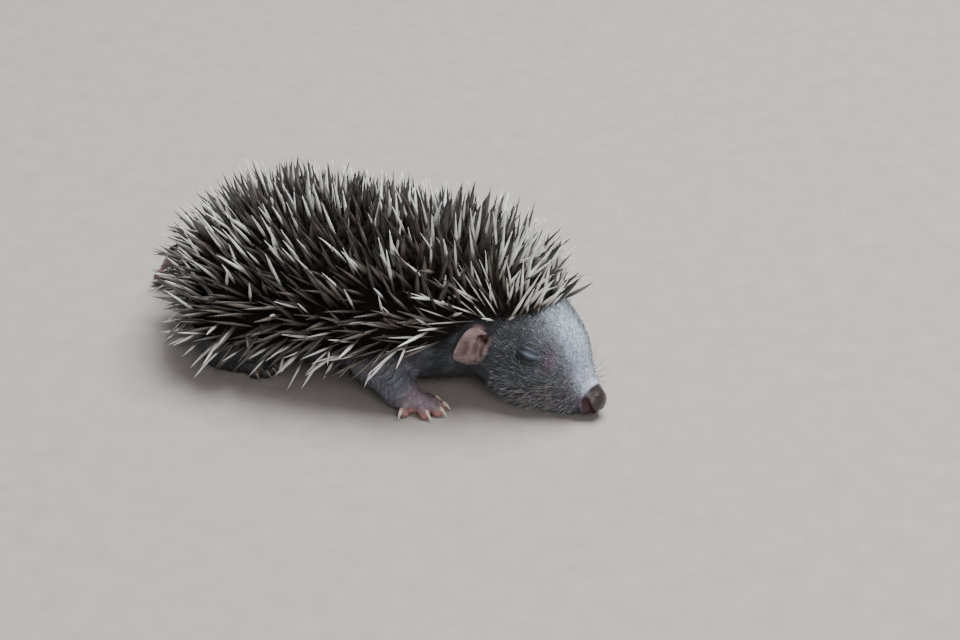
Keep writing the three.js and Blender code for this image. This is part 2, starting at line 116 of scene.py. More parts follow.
class Flesh:
    """A field on a grid: negative inside the animal and zero on its surface."""

    def __init__(self, low, high):
        self.low = np.array(low, float)
        count = np.ceil((np.array(high) - self.low) / CELL).astype(int)
        self.field = np.full(count, FAR, np.float32)

    def copy(self):
        other = Flesh(self.low, self.low + CELL)
        other.field = self.field.copy()
        return other

    def window(self, centre, reach):
        first = np.clip(((centre - reach - self.low) / CELL).astype(int), 0, self.field.shape)
        last = np.clip(((centre + reach - self.low) / CELL).astype(int) + 2, 0, self.field.shape)
        axes = [self.low[i] + CELL * np.arange(first[i], last[i]) for i in range(3)]
        points = np.stack(np.meshgrid(*axes, indexing="ij"), -1)
        return tuple(slice(a, b) for a, b in zip(first, last)), points

    def add(self, shape, softness=2.0):
        shape_field, centre, reach = shape
        part, points = self.window(centre, reach + softness + 1.5)
        self.field[part] = smooth_min(self.field[part], shape_field(points), softness)

    def cut(self, shape, softness=0.4):
        shape_field, centre, reach = shape
        part, points = self.window(centre, reach + softness + 1.5)
        self.field[part] = -smooth_min(-self.field[part], shape_field(points), softness)

    def ripple(self, centre, reach, height):
        """Moves the surface out by height(points), which fades to nothing at the reach."""
        part, points = self.window(np.array(centre, float), reach)
        fade = 1 - smoothstep(np.linalg.norm(points - centre, axis=-1), reach * 0.6, reach)
        self.field[part] -= height(points) * fade

    def sample(self, points):
        where = np.clip((points - self.low) / CELL, 0, np.array(self.field.shape) - 1.001)
        corner = where.astype(int)
        share = where - corner
        value = 0
        for dx in (0, 1):
            for dy in (0, 1):
                for dz in (0, 1):
                    offset = np.array((dx, dy, dz))
                    weight = np.prod(np.where(offset, share, 1 - share), axis=-1)
                    i, j, k = (corner + offset).T
                    value = value + weight * self.field[i, j, k]
        return value

    def slope(self, points):
        steps = np.eye(3) * CELL
        return unit(np.stack([self.sample(points + s) - self.sample(points - s) for s in steps], -1))

    def land(self, start, direction, far=30.0):
        """The point where a line from inside the flesh comes out."""
        along = np.arange(0, far, 0.1)
        points = np.array(start) + along[:, None] * np.array(direction)
        return points[np.argmax(self.sample(points) > -SKIN_INSET)]

    def mesh(self):
        grid = vdb.FloatGrid(background=FAR)
        grid.copyFromArray(self.field)
        points, quads = grid.convertToQuads(isovalue=-SKIN_INSET)
        return points * CELL + self.low, quads[:, ::-1]


# ---- Anatomy, with the same places as the solids ------------------------------------------------
HEAD = Place((36.8, -1.0, 13.8), yaw=-19.5, pitch=21)
EYE_AT = (8.6, 4.2)  # forward and up on the head
NOSE_AT = np.array((22.5, 0, -2.1))
NOSE_SIZE = np.array((3.1, 3.5, 3.1))
NOSTRIL = ((0.1, 2.7, 1.1), (0.7, 2.7, 0.6), (1.3, 2.6, -0.1), (1.8, 2.1, -0.9))  # from the nose's middle
EAR = {"forward": -1.9, "up": 0.9, "width": 3.7, "height": 6.1, "thick": 1.1, "lift": 1.5}
EAR_HOLE = (1.4, 3.0)  # front and up from the ear's middle
EAR_CREASES = (((0.7, 2.2), (0.9, -2.6)), ((1.7, 1.8), (2.1, -2.4)))
MOUTH_LINE = -6.1
FORELEGS = (
    (-1, (8.6, -16.4, 8.4), (15.5, -19.3, 4.4), Place((18.3, -19.1, 2.0))),
    (1, (5.6, 16.4, 8.4), (12.5, 19.3, 4.4), Place((15.3, 19.1, 2.0), yaw=4)),
)
HINDLEGS = (
    (-1, (-25, -14, 9), (-28, -16.4, 3.6), Place((-22.4, -16.2, 2.0), yaw=-3)),
    (1, (-31, 12.8, 7), (-49.5, 13, 8.6), Place((-53.6, 13.1, 6.7), yaw=180, pitch=60, roll=180)),
)
FORE_DIGITS = ((-38, 5.2), (-14, 6.7), (6, 6.8), (32, 5.2), (98, 3.7))  # spread in degrees, reach
HIND_DIGITS = ((-30, 4.8), (-13, 6.2), (1, 6.6), (15, 6.1), (34, 4.6))
TAIL = ((-39, 0.8, 11), (-48.5, -1.0, 9.2))


def add_trunk(flesh):
    flesh.add(ball((-23.5, 1.5, 13.8), (18.5, 17.8, 14.6)))
    flesh.add(ball((-8, 0.5, 15.3), (25, 20, 16.4)), 9)
    flesh.add(ball((13, 0, 15.6), (20, 17.4, 14.8)), 9)
    flesh.add(limb((20, 0, 16), (33, -1, 16.2), 12.4, 11), 8)
    flesh.add(limb((13, -12, 12), (10, -14.6, 9), 6, 4.6), 5)
    flesh.add(limb((10, 12, 12), (7, 14.6, 9), 6, 4.6), 5)


def add_head(flesh):
    flesh.add(ball((0, 0, 1.2), (12.5, 10.2, 10.2), HEAD), 6)
    flesh.add(ball((7, 0, 2.2), (10.5, 8.4, 8.5), HEAD), 4)
    flesh.add(limb((6, 0, -0.8), (19.5, 0, -2.3), 8.6, 4.4, HEAD), 4)
    flesh.add(limb((4, 0, -5.3), (16.5, 0, -6.3), 6, 2.9, HEAD), 4)
    for side, _ in SIDES:
        flesh.add(ball((5.5, 6 * side, -4.6), (8.4, 5.5, 6), HEAD), 4)
        flesh.add(limb((10.5, 4.4 * side, -5.2), (17.5, 2.8 * side, -5.6), 4.5, 2.8, HEAD), 3)


def add_legs(flesh):
    for side, elbow, wrist, paw in FORELEGS:
        knuckles = paw.out(-0.5, 0, 0.2)
        flesh.add(limb(elbow, wrist, 4.3, 3.2), 4)
        flesh.add(limb(wrist, knuckles, 3.1, 2.2), 2)
        flesh.add(limb(wrist, paw.out(1.4, 0, 0.3), 3.0, 2.2), 2)
        add_paw(flesh, side, paw, FORE_DIGITS, 3.0)
    for side, hip, heel, paw in HINDLEGS:
        flesh.add(ball((-24.7, 14.3 * side, 9.9), (10.5, 7.5, 9.5)), 5)
        flesh.add(limb(hip, heel, 5, 2.9), 4)
        flesh.add(limb(heel, paw.out(-2, 0, 0), 2.7, 2.3), 3)
        add_paw(flesh, side, paw, HIND_DIGITS, 4.4)
    flesh.add(limb(*TAIL, 2.9, 1.1), 3)


def digit_points(side, spread, reach):
    turn = math.radians(spread)
    ahead = np.array((math.cos(turn), math.sin(turn) * side))
    return [(*(ahead * reach * share), z) for share, z in ((0.3, 0.0), (0.72, -0.1), (0.97, -0.8))]


def add_paw(flesh, side, paw, digits, palm_length):
    flesh.add(ball((0, 0, 0), (palm_length, 3.1, 2.1), paw), 1.2)
    for spread, reach in digits:
        root, knuckle, tip = digit_points(side, spread, reach)
        flesh.add(limb(root, knuckle, 1.55, 1.3, paw), 0.9)
        flesh.add(limb(knuckle, tip, 1.2, 1.1, paw), 0.5)
        pad = (tip[0] * 0.97, tip[1] * 0.97, tip[2] - 0.5)
        flesh.add(ball(pad, (1.35, 1.15, 0.85), paw), 0.4)


# ---- Eyes, ears, nose and mouth ------------------------------------------------------------------
def find_places(flesh):
    """For each side, a middle and three axes on the plain head: along the lids, across them and out,
    and to the front of the ear, up and out."""
    eyes, ears = {}, {}
    for side, _ in SIDES:
        sideways = HEAD.turn(0, side, 0)
        middle = flesh.land(HEAD.out(EYE_AT[0], 0, EYE_AT[1]), sideways)
        out = flesh.slope(middle[None])[0]
        along = HEAD.turn(1, 0, 0.13)
        along = unit(along - out * (along @ out))
        eyes[side] = middle, along, np.cross(along, out) * side, out
        middle = flesh.land(HEAD.out(EAR["forward"], 0, EAR["up"]), sideways)
        out = flesh.slope(middle[None])[0]
        front = unit(np.cross(out, HEAD.turn(0, 0, 1))) * side
        ears[side] = middle, np.stack([front, np.cross(front, out) * side, out], 1)
    return eyes, ears


def stroke(change, points, radius, softness, place=WORLD):
    """Adds or cuts a round line through the points."""
    for a, b in zip(points, points[1:]):
        change(limb(a, b, radius, radius, place), softness)


def add_lids(flesh, eye):
    middle, along, across, out = eye
    flesh.cut(ball(middle + out * 3.4 - across * 0.1, (4.8, 4.8, 4.8)), 2.6)
    flesh.add(ball(middle - out * 2.1 - across * 0.4, (2.8, 2.8, 2.8)), 1.5)

    def on_skin(a, b, depth=0.0):
        start = middle + along * a + across * b - out * 2.8
        return flesh.land(start, out, 6) + out * depth

    for rise, bow, thick in ((0.0, 0.5, 0.24), (1.0, 0.7, 0.26), (2.2, 0.85, 0.26), (-1.9, -0.5, 0.3), (-3.0, -0.8, 0.36)):
        fold = [on_skin(a, rise + bow * (1 - (a / 3.2) ** 2)) for a in np.linspace(-2.6, 2.9, 7)]
        stroke(flesh.add, fold, thick, 0.7)
    slit = [on_skin(a + 0.2, -0.6 - 0.35 * (1 - (a / 2.0) ** 2), 0.0) for a in np.linspace(-2.0, 2.0, 8)]
    stroke(flesh.cut, slit, 0.32, 0.25)
    for rise, start, end in ((0.45, -2.2, 1.6), (1.5, -1.2, 2.6), (2.7, -2.6, 1.2), (-1.3, -1.4, 2.6), (-2.4, -2.4, 2.2)):
        bow = 0.75 * np.sign(rise)
        crease = [on_skin(a, rise + bow * (1 - (a / 3.2) ** 2), 0.06) for a in np.linspace(start, end, 6)]
        stroke(flesh.cut, crease, 0.2, 0.25)


def ear_rim(front, up, side):
    """How far out a point of the ear is: 0 in the middle and 1 at its rim."""
    angle = np.arctan2(up, front)
    rim = 1 + 0.1 * np.maximum(0, np.sin(-angle - 0.1)) ** 2 + 0.02 * np.sin(angle * 4 + side)
    return np.hypot(front / EAR["width"], up / EAR["height"]) / rim


def add_ear(flesh, side, ear):
    middle, axes = ear

    def pinna(points):
        front, up, out = np.moveaxis((points - middle) @ axes, -1, 0)
        above = flesh.sample(points.reshape(-1, 3)).reshape(points.shape[:-1])
        r = ear_rim(front, up, side)
        behind = smoothstep(-front + 0.5 * up, -3.0, 3.5)
        lift = -0.5 + (0.6 + EAR["lift"] * np.clip(r, 0, 1.1)) * behind + 0.12 * np.sin(1.3 * up + 0.6 * front) * behind
        sheet = np.abs(above - lift) - EAR["thick"] / 2
        return -smooth_min(-sheet, (1 - r) * EAR["width"], 0.9)

    flesh.add((pinna, middle, EAR["height"] + 1.5), 0.5)
    on_ear = lambda front, up, out=0.0: middle + axes @ np.array((front, up, out))
    hole = np.array(EAR_HOLE)
    flesh.cut(limb(on_ear(*hole, 1.3), on_ear(*(hole + (0.3, -0.1)), -1.8), 1.15, 0.6), 0.8)
    for start, end in EAR_CREASES:
        steps = [np.array(start) + (np.array(end) - start) * t for t in np.linspace(0, 1, 5)]
        line = [flesh.land(on_ear(*step, -2.0), axes[:, 2], 6) for step in steps]
        stroke(flesh.cut, line, 0.34, 0.4)
    flesh.add(limb(on_ear(3.2, 3.4, -0.2), on_ear(2.8, -0.6, 0.0), 0.7, 0.5), 1.0)


def on_nose(forward, left, up, share=1.0):
    offset = np.array((forward, left, up))
    return NOSE_AT + offset / np.linalg.norm(offset / NOSE_SIZE) * share


def add_nose(flesh):
    flesh.add(ball(NOSE_AT, NOSE_SIZE, HEAD), 0.7)
    for side, _ in SIDES:
        line = [on_nose(f, l * side, u, 1.02) for f, l, u in NOSTRIL]
        stroke(flesh.cut, line[:2], 0.5, 0.4, HEAD)
        stroke(flesh.cut, line[1:], 0.66, 0.4, HEAD)
        wing = [on_nose(f - 1.0, (l + 0.5) * side, u - 0.9, 1.05) for f, l, u in NOSTRIL]
        stroke(flesh.add, wing, 0.45, 0.6, HEAD)
    flesh.cut(limb(NOSE_AT + (3.3, 0, 0.6), NOSE_AT + (1.4, 0, -3.4), 0.28, 0.35, HEAD), 0.6)


def mouth_height(forward):
    return MOUTH_LINE - 0.05 * (forward - 14) ** 2 / 8


def cut_mouth(flesh):
    points = [(8.5 + 1.2 * i, 7.2 - 0.055 * i * i) for i in range(11)]
    for side, _ in SIDES:
        line = []
        for forward, across in points:
            up = mouth_height(forward)
            start = HEAD.out(forward, 0, up)
            line.append(flesh.land(start, HEAD.turn(0, side, -0.15)))
        stroke(flesh.cut, line, 0.28, 0.4)


# ---- Folds of bare skin --------------------------------------------------------------------------
def wave(points, direction, length, wobble=0.5):
    """Soft parallel folds across a direction, never quite regular."""
    along = points @ np.array(direction)
    x, y, z = np.moveaxis(points, -1, 0)
    drift = wobble * (np.sin(0.9 * x + 1.3 * z) + np.sin(1.1 * y - 0.7 * z + 1.0))
    return np.sin(2 * math.pi * (along + drift) / length)


def fold_skin(flesh):
    for side, elbow, wrist, paw in FORELEGS:
        axis = unit(np.array(wrist) - np.array(elbow))
        middle = (np.array(elbow) * 0.4 + np.array(wrist) * 0.6)
        flesh.ripple(middle, 9.0, lambda p: 0.17 * wave(p, axis, 1.45) + 0.08 * wave(p, axis, 0.9, 0.9))
    for side, hip, heel, paw in HINDLEGS:
        flesh.ripple(heel, 8.0, lambda p: 0.1 * wave(p, (1, 0, 0.3), 1.6))
    throat = HEAD.out(-6, 0, -9)
    flesh.ripple(throat, 15.0, lambda p: 0.16 * wave(p, HEAD.turn(1, 0, -0.4), 2.6))
    brow = HEAD.out(3, 0, 11)
    flesh.ripple(brow, 9.0, lambda p: 0.05 * wave(p, HEAD.turn(0.9, 0.2, 0.3), 1.7, 0.8))


def build_flesh():
    flesh = Flesh((-63, -30, -3), (62, 30, 35))
    add_trunk(flesh)
    add_head(flesh)
    add_legs(flesh)
    eyes, ears = find_places(flesh)
    plain = flesh.copy()
    for side, _ in SIDES:
        add_lids(flesh, eyes[side])
        add_ear(flesh, side, ears[side])
    add_nose(flesh)
    cut_mouth(flesh)
    fold_skin(flesh)
    heights = flesh.low[2] + CELL * np.arange(flesh.field.shape[2])
    flesh.field = np.maximum(flesh.field, (-heights - SKIN_INSET).astype(np.float32))
    return flesh, plain, eyes, ears


# ---- Where the spines grow -----------------------------------------------------------------------
# Lowest roots of the spines: forward and height in the trunk's frame, and on the head's own frame.
TRUNK_HEM = ((-60, 9.0), (-14, 8.6), (4, 10.2), (14, 12.5), (24, 15.5), (34, 20.5))
HEAD_HEM = ((-18, -1.5), (-8, 3.6), (-1, 7.4), (4.5, 10.6), (6.8, 14.5), (8, 30))
NECK_BLEND = (25.0, 31.0)


def above_hem(points):
    """How far a point lies above the spines' lower edge."""
    trunk = points[:, 2] - np.interp(points[:, 0], *zip(*TRUNK_HEM))
    own = HEAD.into(points)
    head = own[:, 2] - np.interp(own[:, 0], *zip(*HEAD_HEM))
    share = smoothstep(points[:, 0], *NECK_BLEND)
    return trunk * (1 - share) + head * share


def noise(points, scale, seed):
    """Smooth values between about -1 and 1 that change over the given scale."""
    rng = np.random.default_rng(seed)
    total = 0
    for _ in range(6):
        direction = unit(rng.normal(size=3))
        total = total + np.sin(points @ direction * rng.uniform(0.7, 1.5) * 2 * math.pi / scale + rng.uniform(0, 7))
    return total / 3


def spread_points(points, spacing, rng):
    """Picks points that keep at least their own spacing, in random order, by a grid of cells."""
    order = rng.permutation(len(points))
    size = float(spacing.max())
    cells = {}
    kept = []
    for i in order:
        p = points[i]
        key = tuple((p // size).astype(int))
        near = (
            j
            for dx in (-1, 0, 1)
            for dy in (-1, 0, 1)
            for dz in (-1, 0, 1)
            for j in cells.get((key[0] + dx, key[1] + dy, key[2] + dz), ())
        )
        limit = spacing[i] ** 2
        if all((points[j][0] - p[0]) ** 2 + (points[j][1] - p[1]) ** 2 + (points[j][2] - p[2]) ** 2 > limit for j in near):
            cells.setdefault(key, []).append(i)
            kept.append(i)
    return np.array(kept)


# ---- Unwrap of the skin for the coat's bake map ----------------------------------------------------
PATCH = 0.003
LEG_CHARTS = ((5, 30, -30, -14), (2, 28, 14, 30), (-40, -12, -30, -14), (-64, -14, 10, 24))


def unwrap(points):
    """Where a root lies on a flat unwrap of the skin: round the body, and from tail to nose."""
    x, y, z = points.T
    u = 0.5 + np.arctan2(y, z - 12.0) / (2 * math.pi)
    v = 0.22 + 0.76 * (x + 64) / 128
    for i, (x0, x1, y0, y1) in enumerate(LEG_CHARTS):
        on_leg = (x > x0) & (x < x1) & (y > y0) & (y < y1) & (z < 7)
        leg_u = (i + 0.1 + 0.8 * (np.arctan2(y - (y0 + y1) / 2, z - 3.0) / (2 * math.pi) + 0.5)) / 4
        leg_v = 0.01 + 0.18 * (x - x0) / (x1 - x0)
        u = np.where(on_leg, leg_u, u)
        v = np.where(on_leg, leg_v, v)
    return np.stack([u, v], -1) * (1 - 2 * PATCH) + PATCH


# ---- Mesh builders -----------------------------------------------------------------------------------
def new_mesh(name, points, faces, smooth=True):
    mesh = bpy.data.meshes.new(name)
    mesh.from_pydata((points * MM).tolist(), [], faces)
    if smooth:
        mesh.shade_smooth()
    piece = bpy.data.objects.new(name, mesh)
    bpy.context.collection.objects.link(piece)
    return piece


def add_values(piece, name, values):
    layer = piece.data.attributes.new(name, "FLOAT", "POINT")
    layer.data.foreach_set("value", np.asarray(values, np.float32))


LOWEST_STRAND = 0.05


def strands(name, roots, directions, lengths, widths, profile, sides, bends=None, flat=1.0, values=None):
    """Many tapered strands as one mesh. profile is a list of (share of the length, share of the width),
    and the last share of the width is the tip. Each strand's bake patch sits at its root's place."""
    count = len(roots)
    rings = len(profile) - 1
    directions = unit(directions)
    side = unit(np.cross(directions, np.array((0.31, 0.87, 0.38))))
    other = np.cross(directions, side)
    if bends is None:
        bends = np.zeros_like(directions)
    turns = 2 * math.pi * np.arange(sides) / sides
    per_strand = rings * sides + 1
    points = np.empty((count, per_strand, 3))
    along = np.empty(per_strand)
    for j, (t, width) in enumerate(profile):
        middle = roots + directions * (lengths * t)[:, None] + bends * (lengths * t * t)[:, None]
        if j == rings:
            points[:, -1] = middle
            along[-1] = t
            continue
        round_it = np.cos(turns)[:, None] * side[:, None] + flat * np.sin(turns)[:, None] * other[:, None]
        ring = slice(j * sides, (j + 1) * sides)
        points[:, ring] = middle[:, None] + round_it * (widths * width)[:, None, None]
        along[ring] = t
    points[..., 2] = np.maximum(points[..., 2], LOWEST_STRAND)
    i = np.arange(sides)
    k = (i + 1) % sides
    quads = np.concatenate([np.stack([i, k, k + sides, i + sides], 1) + j * sides for j in range(rings - 1)])
    top = (rings - 1) * sides
    tips = np.stack([i + top, k + top, np.full(sides, per_strand - 1)], 1)
    base = np.arange(sides)[::-1]
    first = np.arange(count) * per_strand
    corner_u = lambda n: np.stack([i, i + 1, i + 1, i][:n], 1) / sides
    heights = [t for t, _ in profile]
    quad_uv = [
        np.stack([corner_u(4), np.tile([heights[j], heights[j], heights[j + 1], heights[j + 1]], (sides, 1))], -1)
        for j in range(rings - 1)
    ]
    tip_u = np.stack([i, i + 1, i + 0.5], 1) / sides
    tip_uv = np.stack([tip_u, np.tile([heights[-2], heights[-2], heights[-1]], (sides, 1))], -1)
    base_uv = np.stack([base / sides, np.zeros(sides)], -1)
    corners = np.concatenate([quads.ravel(), tips.ravel(), base])
    corner_uv = np.concatenate([np.concatenate(quad_uv).reshape(-1, 2), tip_uv.reshape(-1, 2), base_uv])
    sizes = np.concatenate([np.full(len(quads), 4), np.full(len(tips), 3), [sides]])

    mesh = bpy.data.meshes.new(name)
    mesh.vertices.add(count * per_strand)
    mesh.vertices.foreach_set("co", (points.reshape(-1, 3) * MM).astype(np.float32).ravel())
    loops = (first[:, None] + corners[None]).ravel()
    mesh.loops.add(len(loops))
    mesh.loops.foreach_set("vertex_index", loops.astype(np.int32))
    all_sizes = np.tile(sizes, count)
    mesh.polygons.add(len(all_sizes))
    starts = np.concatenate([[0], np.cumsum(all_sizes)[:-1]])
    mesh.polygons.foreach_set("loop_start", starts.astype(np.int32))
    mesh.polygons.foreach_set("loop_total", all_sizes.astype(np.int32))
    mesh.update(calc_edges=True)
    mesh.shade_smooth()
    patch = (corner_uv - 0.5) * PATCH
    uv = (unwrap(roots)[:, None] + patch[None]).reshape(-1, 2)
    mesh.uv_layers.new(name="OFBake").data.foreach_set("uv", uv.astype(np.float32).ravel())
    piece = bpy.data.objects.new(name, mesh)
    bpy.context.collection.objects.link(piece)
    add_values(piece, "along", np.tile(along, count))
    for key, value in (values or {}).items():
        add_values(piece, key, np.repeat(value, per_strand))
    return piece


# ---- Spines ----------------------------------------------------------------------------------------------
SPINE = ((0, 0.34), (0.12, 0.6), (0.28, 0.92), (0.42, 1.0), (0.58, 0.86), (0.74, 0.56), (0.88, 0.26), (1, 0))
WHITE_TIP = ((0, 0.34), (0.16, 0.55), (0.32, 0.78), (0.46, 0.96), (0.6, 1.0), (0.76, 0.74), (0.89, 0.36), (1, 0))
SPINE_SIDES = 7


def spine_lie(points, normals):
    """The way each spine points: fanned from down and back at the hem to upright on the back, a little
    forward over the brow and straight back at the rump."""
    x = points[:, 0]
    height = np.clip(above_hem(points) / 19, 0, 1)
    keys = (0, 0.18, 0.4, 0.65, 1)
    out = np.interp(height, keys, (0.5, 0.5, 0.55, 0.7, 1.0))
    back = np.interp(height, keys, (0.6, 0.85, 0.72, 0.42, 0.12))
    up = np.interp(height, keys, (-0.75, -0.3, 0.3, 0.5, 0.3))
    at_rump = smoothstep(-x, 24, 40)
    at_shoulder = smoothstep(x, 8, 24)
    at_brow = smoothstep(x, 27, 38)
    back = back * (1 - 0.85 * at_shoulder) + 0.3 * at_rump * (1 - 0.6 * smoothstep(height, 0.4, 0.9))
    low_shoulder = at_shoulder * (1 - smoothstep(height, 0.08, 0.35))
    back = back + 0.9 * low_shoulder
    out = out * (1 - 0.6 * low_shoulder)
    shoulder_up = np.interp(height, (0, 0.25, 0.5, 1), (-0.35, 0.3, 0.5, 0.45))
    up = (up * (1 - 0.4 * at_rump)) * (1 - at_shoulder) + shoulder_up * at_shoulder
    lie = normals * out[:, None]
    lie[:, 0] -= back
    lie[:, 2] += up
    fan = HEAD.turn(0.32, 0, 0.92) + 0.18 * normals
    share = 0.8 * at_brow[:, None]
    return unit(unit(lie) * (1 - share) + fan * share)


def spine_lengths(points, rng):
    x = points[:, 0]
    height = np.clip(above_hem(points) / 19, 0, 1)
    longest = np.interp(height, (0, 0.3, 0.6, 1), (10.2, 12.2, 13.2, 12.4))
    longest = longest - 2.6 * smoothstep(-x, 28, 42) + 3.0 * smoothstep(x, 14, 28) - 1.2 * smoothstep(x, 34, 44)
    return longest * rng.uniform(0.72, 1.0, len(points))


def grow_spines(flesh, skin_points, ears):
    rng = np.random.default_rng(SEED)
    roots = skin_points[(above_hem(skin_points) > 0) & (skin_points[:, 2] > 7)]
    spacing = np.interp(roots[:, 0], (-42, -25, 20, 32), (1.75, 1.7, 1.65, 1.25))
    roots = roots[spread_points(roots, spacing, rng)]
    normals = flesh.slope(roots)
    count = len(roots)
    height = above_hem(roots)
    clumps = np.stack([noise(roots, 7, 40 + i) for i in range(3)], -1)
    flank = (1 - smoothstep(height, 8, 15)) * smoothstep(height, 1.5, 4) * (1 - smoothstep(roots[:, 0], 22, 30))
    spread = 0.17 + 0.36 * flank
    lie = spine_lie(roots, normals) + 0.15 * clumps + rng.normal(0, 1, (count, 3)) * spread[:, None]
    lie = lie + normals * (0.35 * flank)[:, None]
    lie = unit(lie)
    buried = np.sum(lie * normals, -1)
    lie = unit(lie + normals * np.maximum(0.22 - buried, 0)[:, None])
    lengths = spine_lengths(roots, rng)
    fringe = (1 - smoothstep(height, 1.0, 5.5)) * (1 - smoothstep(roots[:, 0], 30, 36))
    widths = rng.uniform(0.5, 0.76, count) * (1 - 0.33 * smoothstep(roots[:, 0], 22, 36)) * (1 - 0.3 * fringe)
    bends = rng.normal(0, 0.035, (count, 3)) + np.array((-0.03, 0, -0.02))
    roots = roots - lie * 0.7

    covers = np.zeros(count, bool)
    bare_places = [(middle, 5.2) for middle, _ in ears.values()] + [(HINDLEGS[1][3].at, 6.4)]
    for middle, clear in bare_places:  # the ears and the rear foot show
        for share in (0, 0.4, 0.7, 1.0):
            covers |= np.linalg.norm(roots + lie * (lengths * share)[:, None] - middle, axis=-1) < clear
    crown = smoothstep(roots[:, 0], 20, 34)
    ridge = smoothstep(height, 12, 17)
    rump = smoothstep(-roots[:, 0], 28, 42)
    white_share = 0.06 + 0.46 * crown + 0.14 * ridge + 0.05 * rump
    tipped_share = 0.55 * fringe + 0.14 * rump + 0.14 * crown + 0.12 * ridge + 0.14 * flank
    pick = rng.uniform(0, 1, count)
    tipped = ~covers & (pick < tipped_share)
    white = ~covers & ~tipped & (pick < tipped_share + white_share * (1 - tipped_share))
    brown = ~covers & ~tipped & ~white
    astray = (0.5 * normals + 0.3 * rng.normal(0, 1, (count, 3))) * flank[:, None]
    raised = 0.5 * smoothstep(height, 5, 10) * (1 - smoothstep(roots[:, 0], 16, 26)) * (1 - ridge)
    astray[:, 2] += raised
    astray[:, 0] += 0.5 * raised
    lie = np.where((white | tipped)[:, None], unit(lie + astray), lie)
    tone = rng.uniform(0, 1, count)
    pieces = []
    groups = (
        ("spines_brown_rump", brown & (roots[:, 0] < -18), SPINE, 1.0, "mantle_rump"),
        ("spines_brown_back", brown & (roots[:, 0] >= -18) & (roots[:, 0] < 22), SPINE, 1.0, "mantle_back"),
        ("spines_brown_crown", brown & (roots[:, 0] >= 22), SPINE, 1.0, "mantle_crown"),
        ("spines_white", white, SPINE, 0.76, None),
        ("spines_white_tipped", tipped, WHITE_TIP, 0.66, None),
    )
    for name, chosen, profile, thickness, node in groups:
        piece = strands(
            name, roots[chosen], lie[chosen], lengths[chosen], widths[chosen] * thickness, profile,
            SPINE_SIDES, bends[chosen], flat=0.62, values={"tone": tone[chosen]},
        )
        pieces.append((piece, node))
    return pieces


# ---- Hair ----------------------------------------------------------------------------------------------
HAIR = ((0, 1.0), (0.5, 0.75), (1, 0))


def scatter(points, keep, spacing, rng):
    points = points[keep]
    return points[spread_points(points, np.full(len(points), spacing), rng)]


def hair_piece(flesh, name, roots, comb, length, width, rng, lift=0.35, mess=0.2):
    """Short hairs combed along the skin. comb is one direction, or one for each root."""
    normals = flesh.slope(roots)
    lie = comb - normals * np.sum(comb * normals, -1, keepdims=True)
    lie = unit(lie) + lift * normals + rng.normal(0, mess, roots.shape)
    bends = -0.25 * normals
    lengths = length * rng.uniform(0.6, 1.15, len(roots))
    lie = unit(lie)
    widths = np.full(len(roots), width) * rng.uniform(0.8, 1.2, len(roots))
    tone = np.clip(0.5 + 0.5 * noise(roots, 2.0, 61) + rng.uniform(-0.3, 0.3, len(roots)), 0, 1)
    return strands(name, roots, lie, lengths, widths, HAIR, 3, bends, values={"tone": tone})


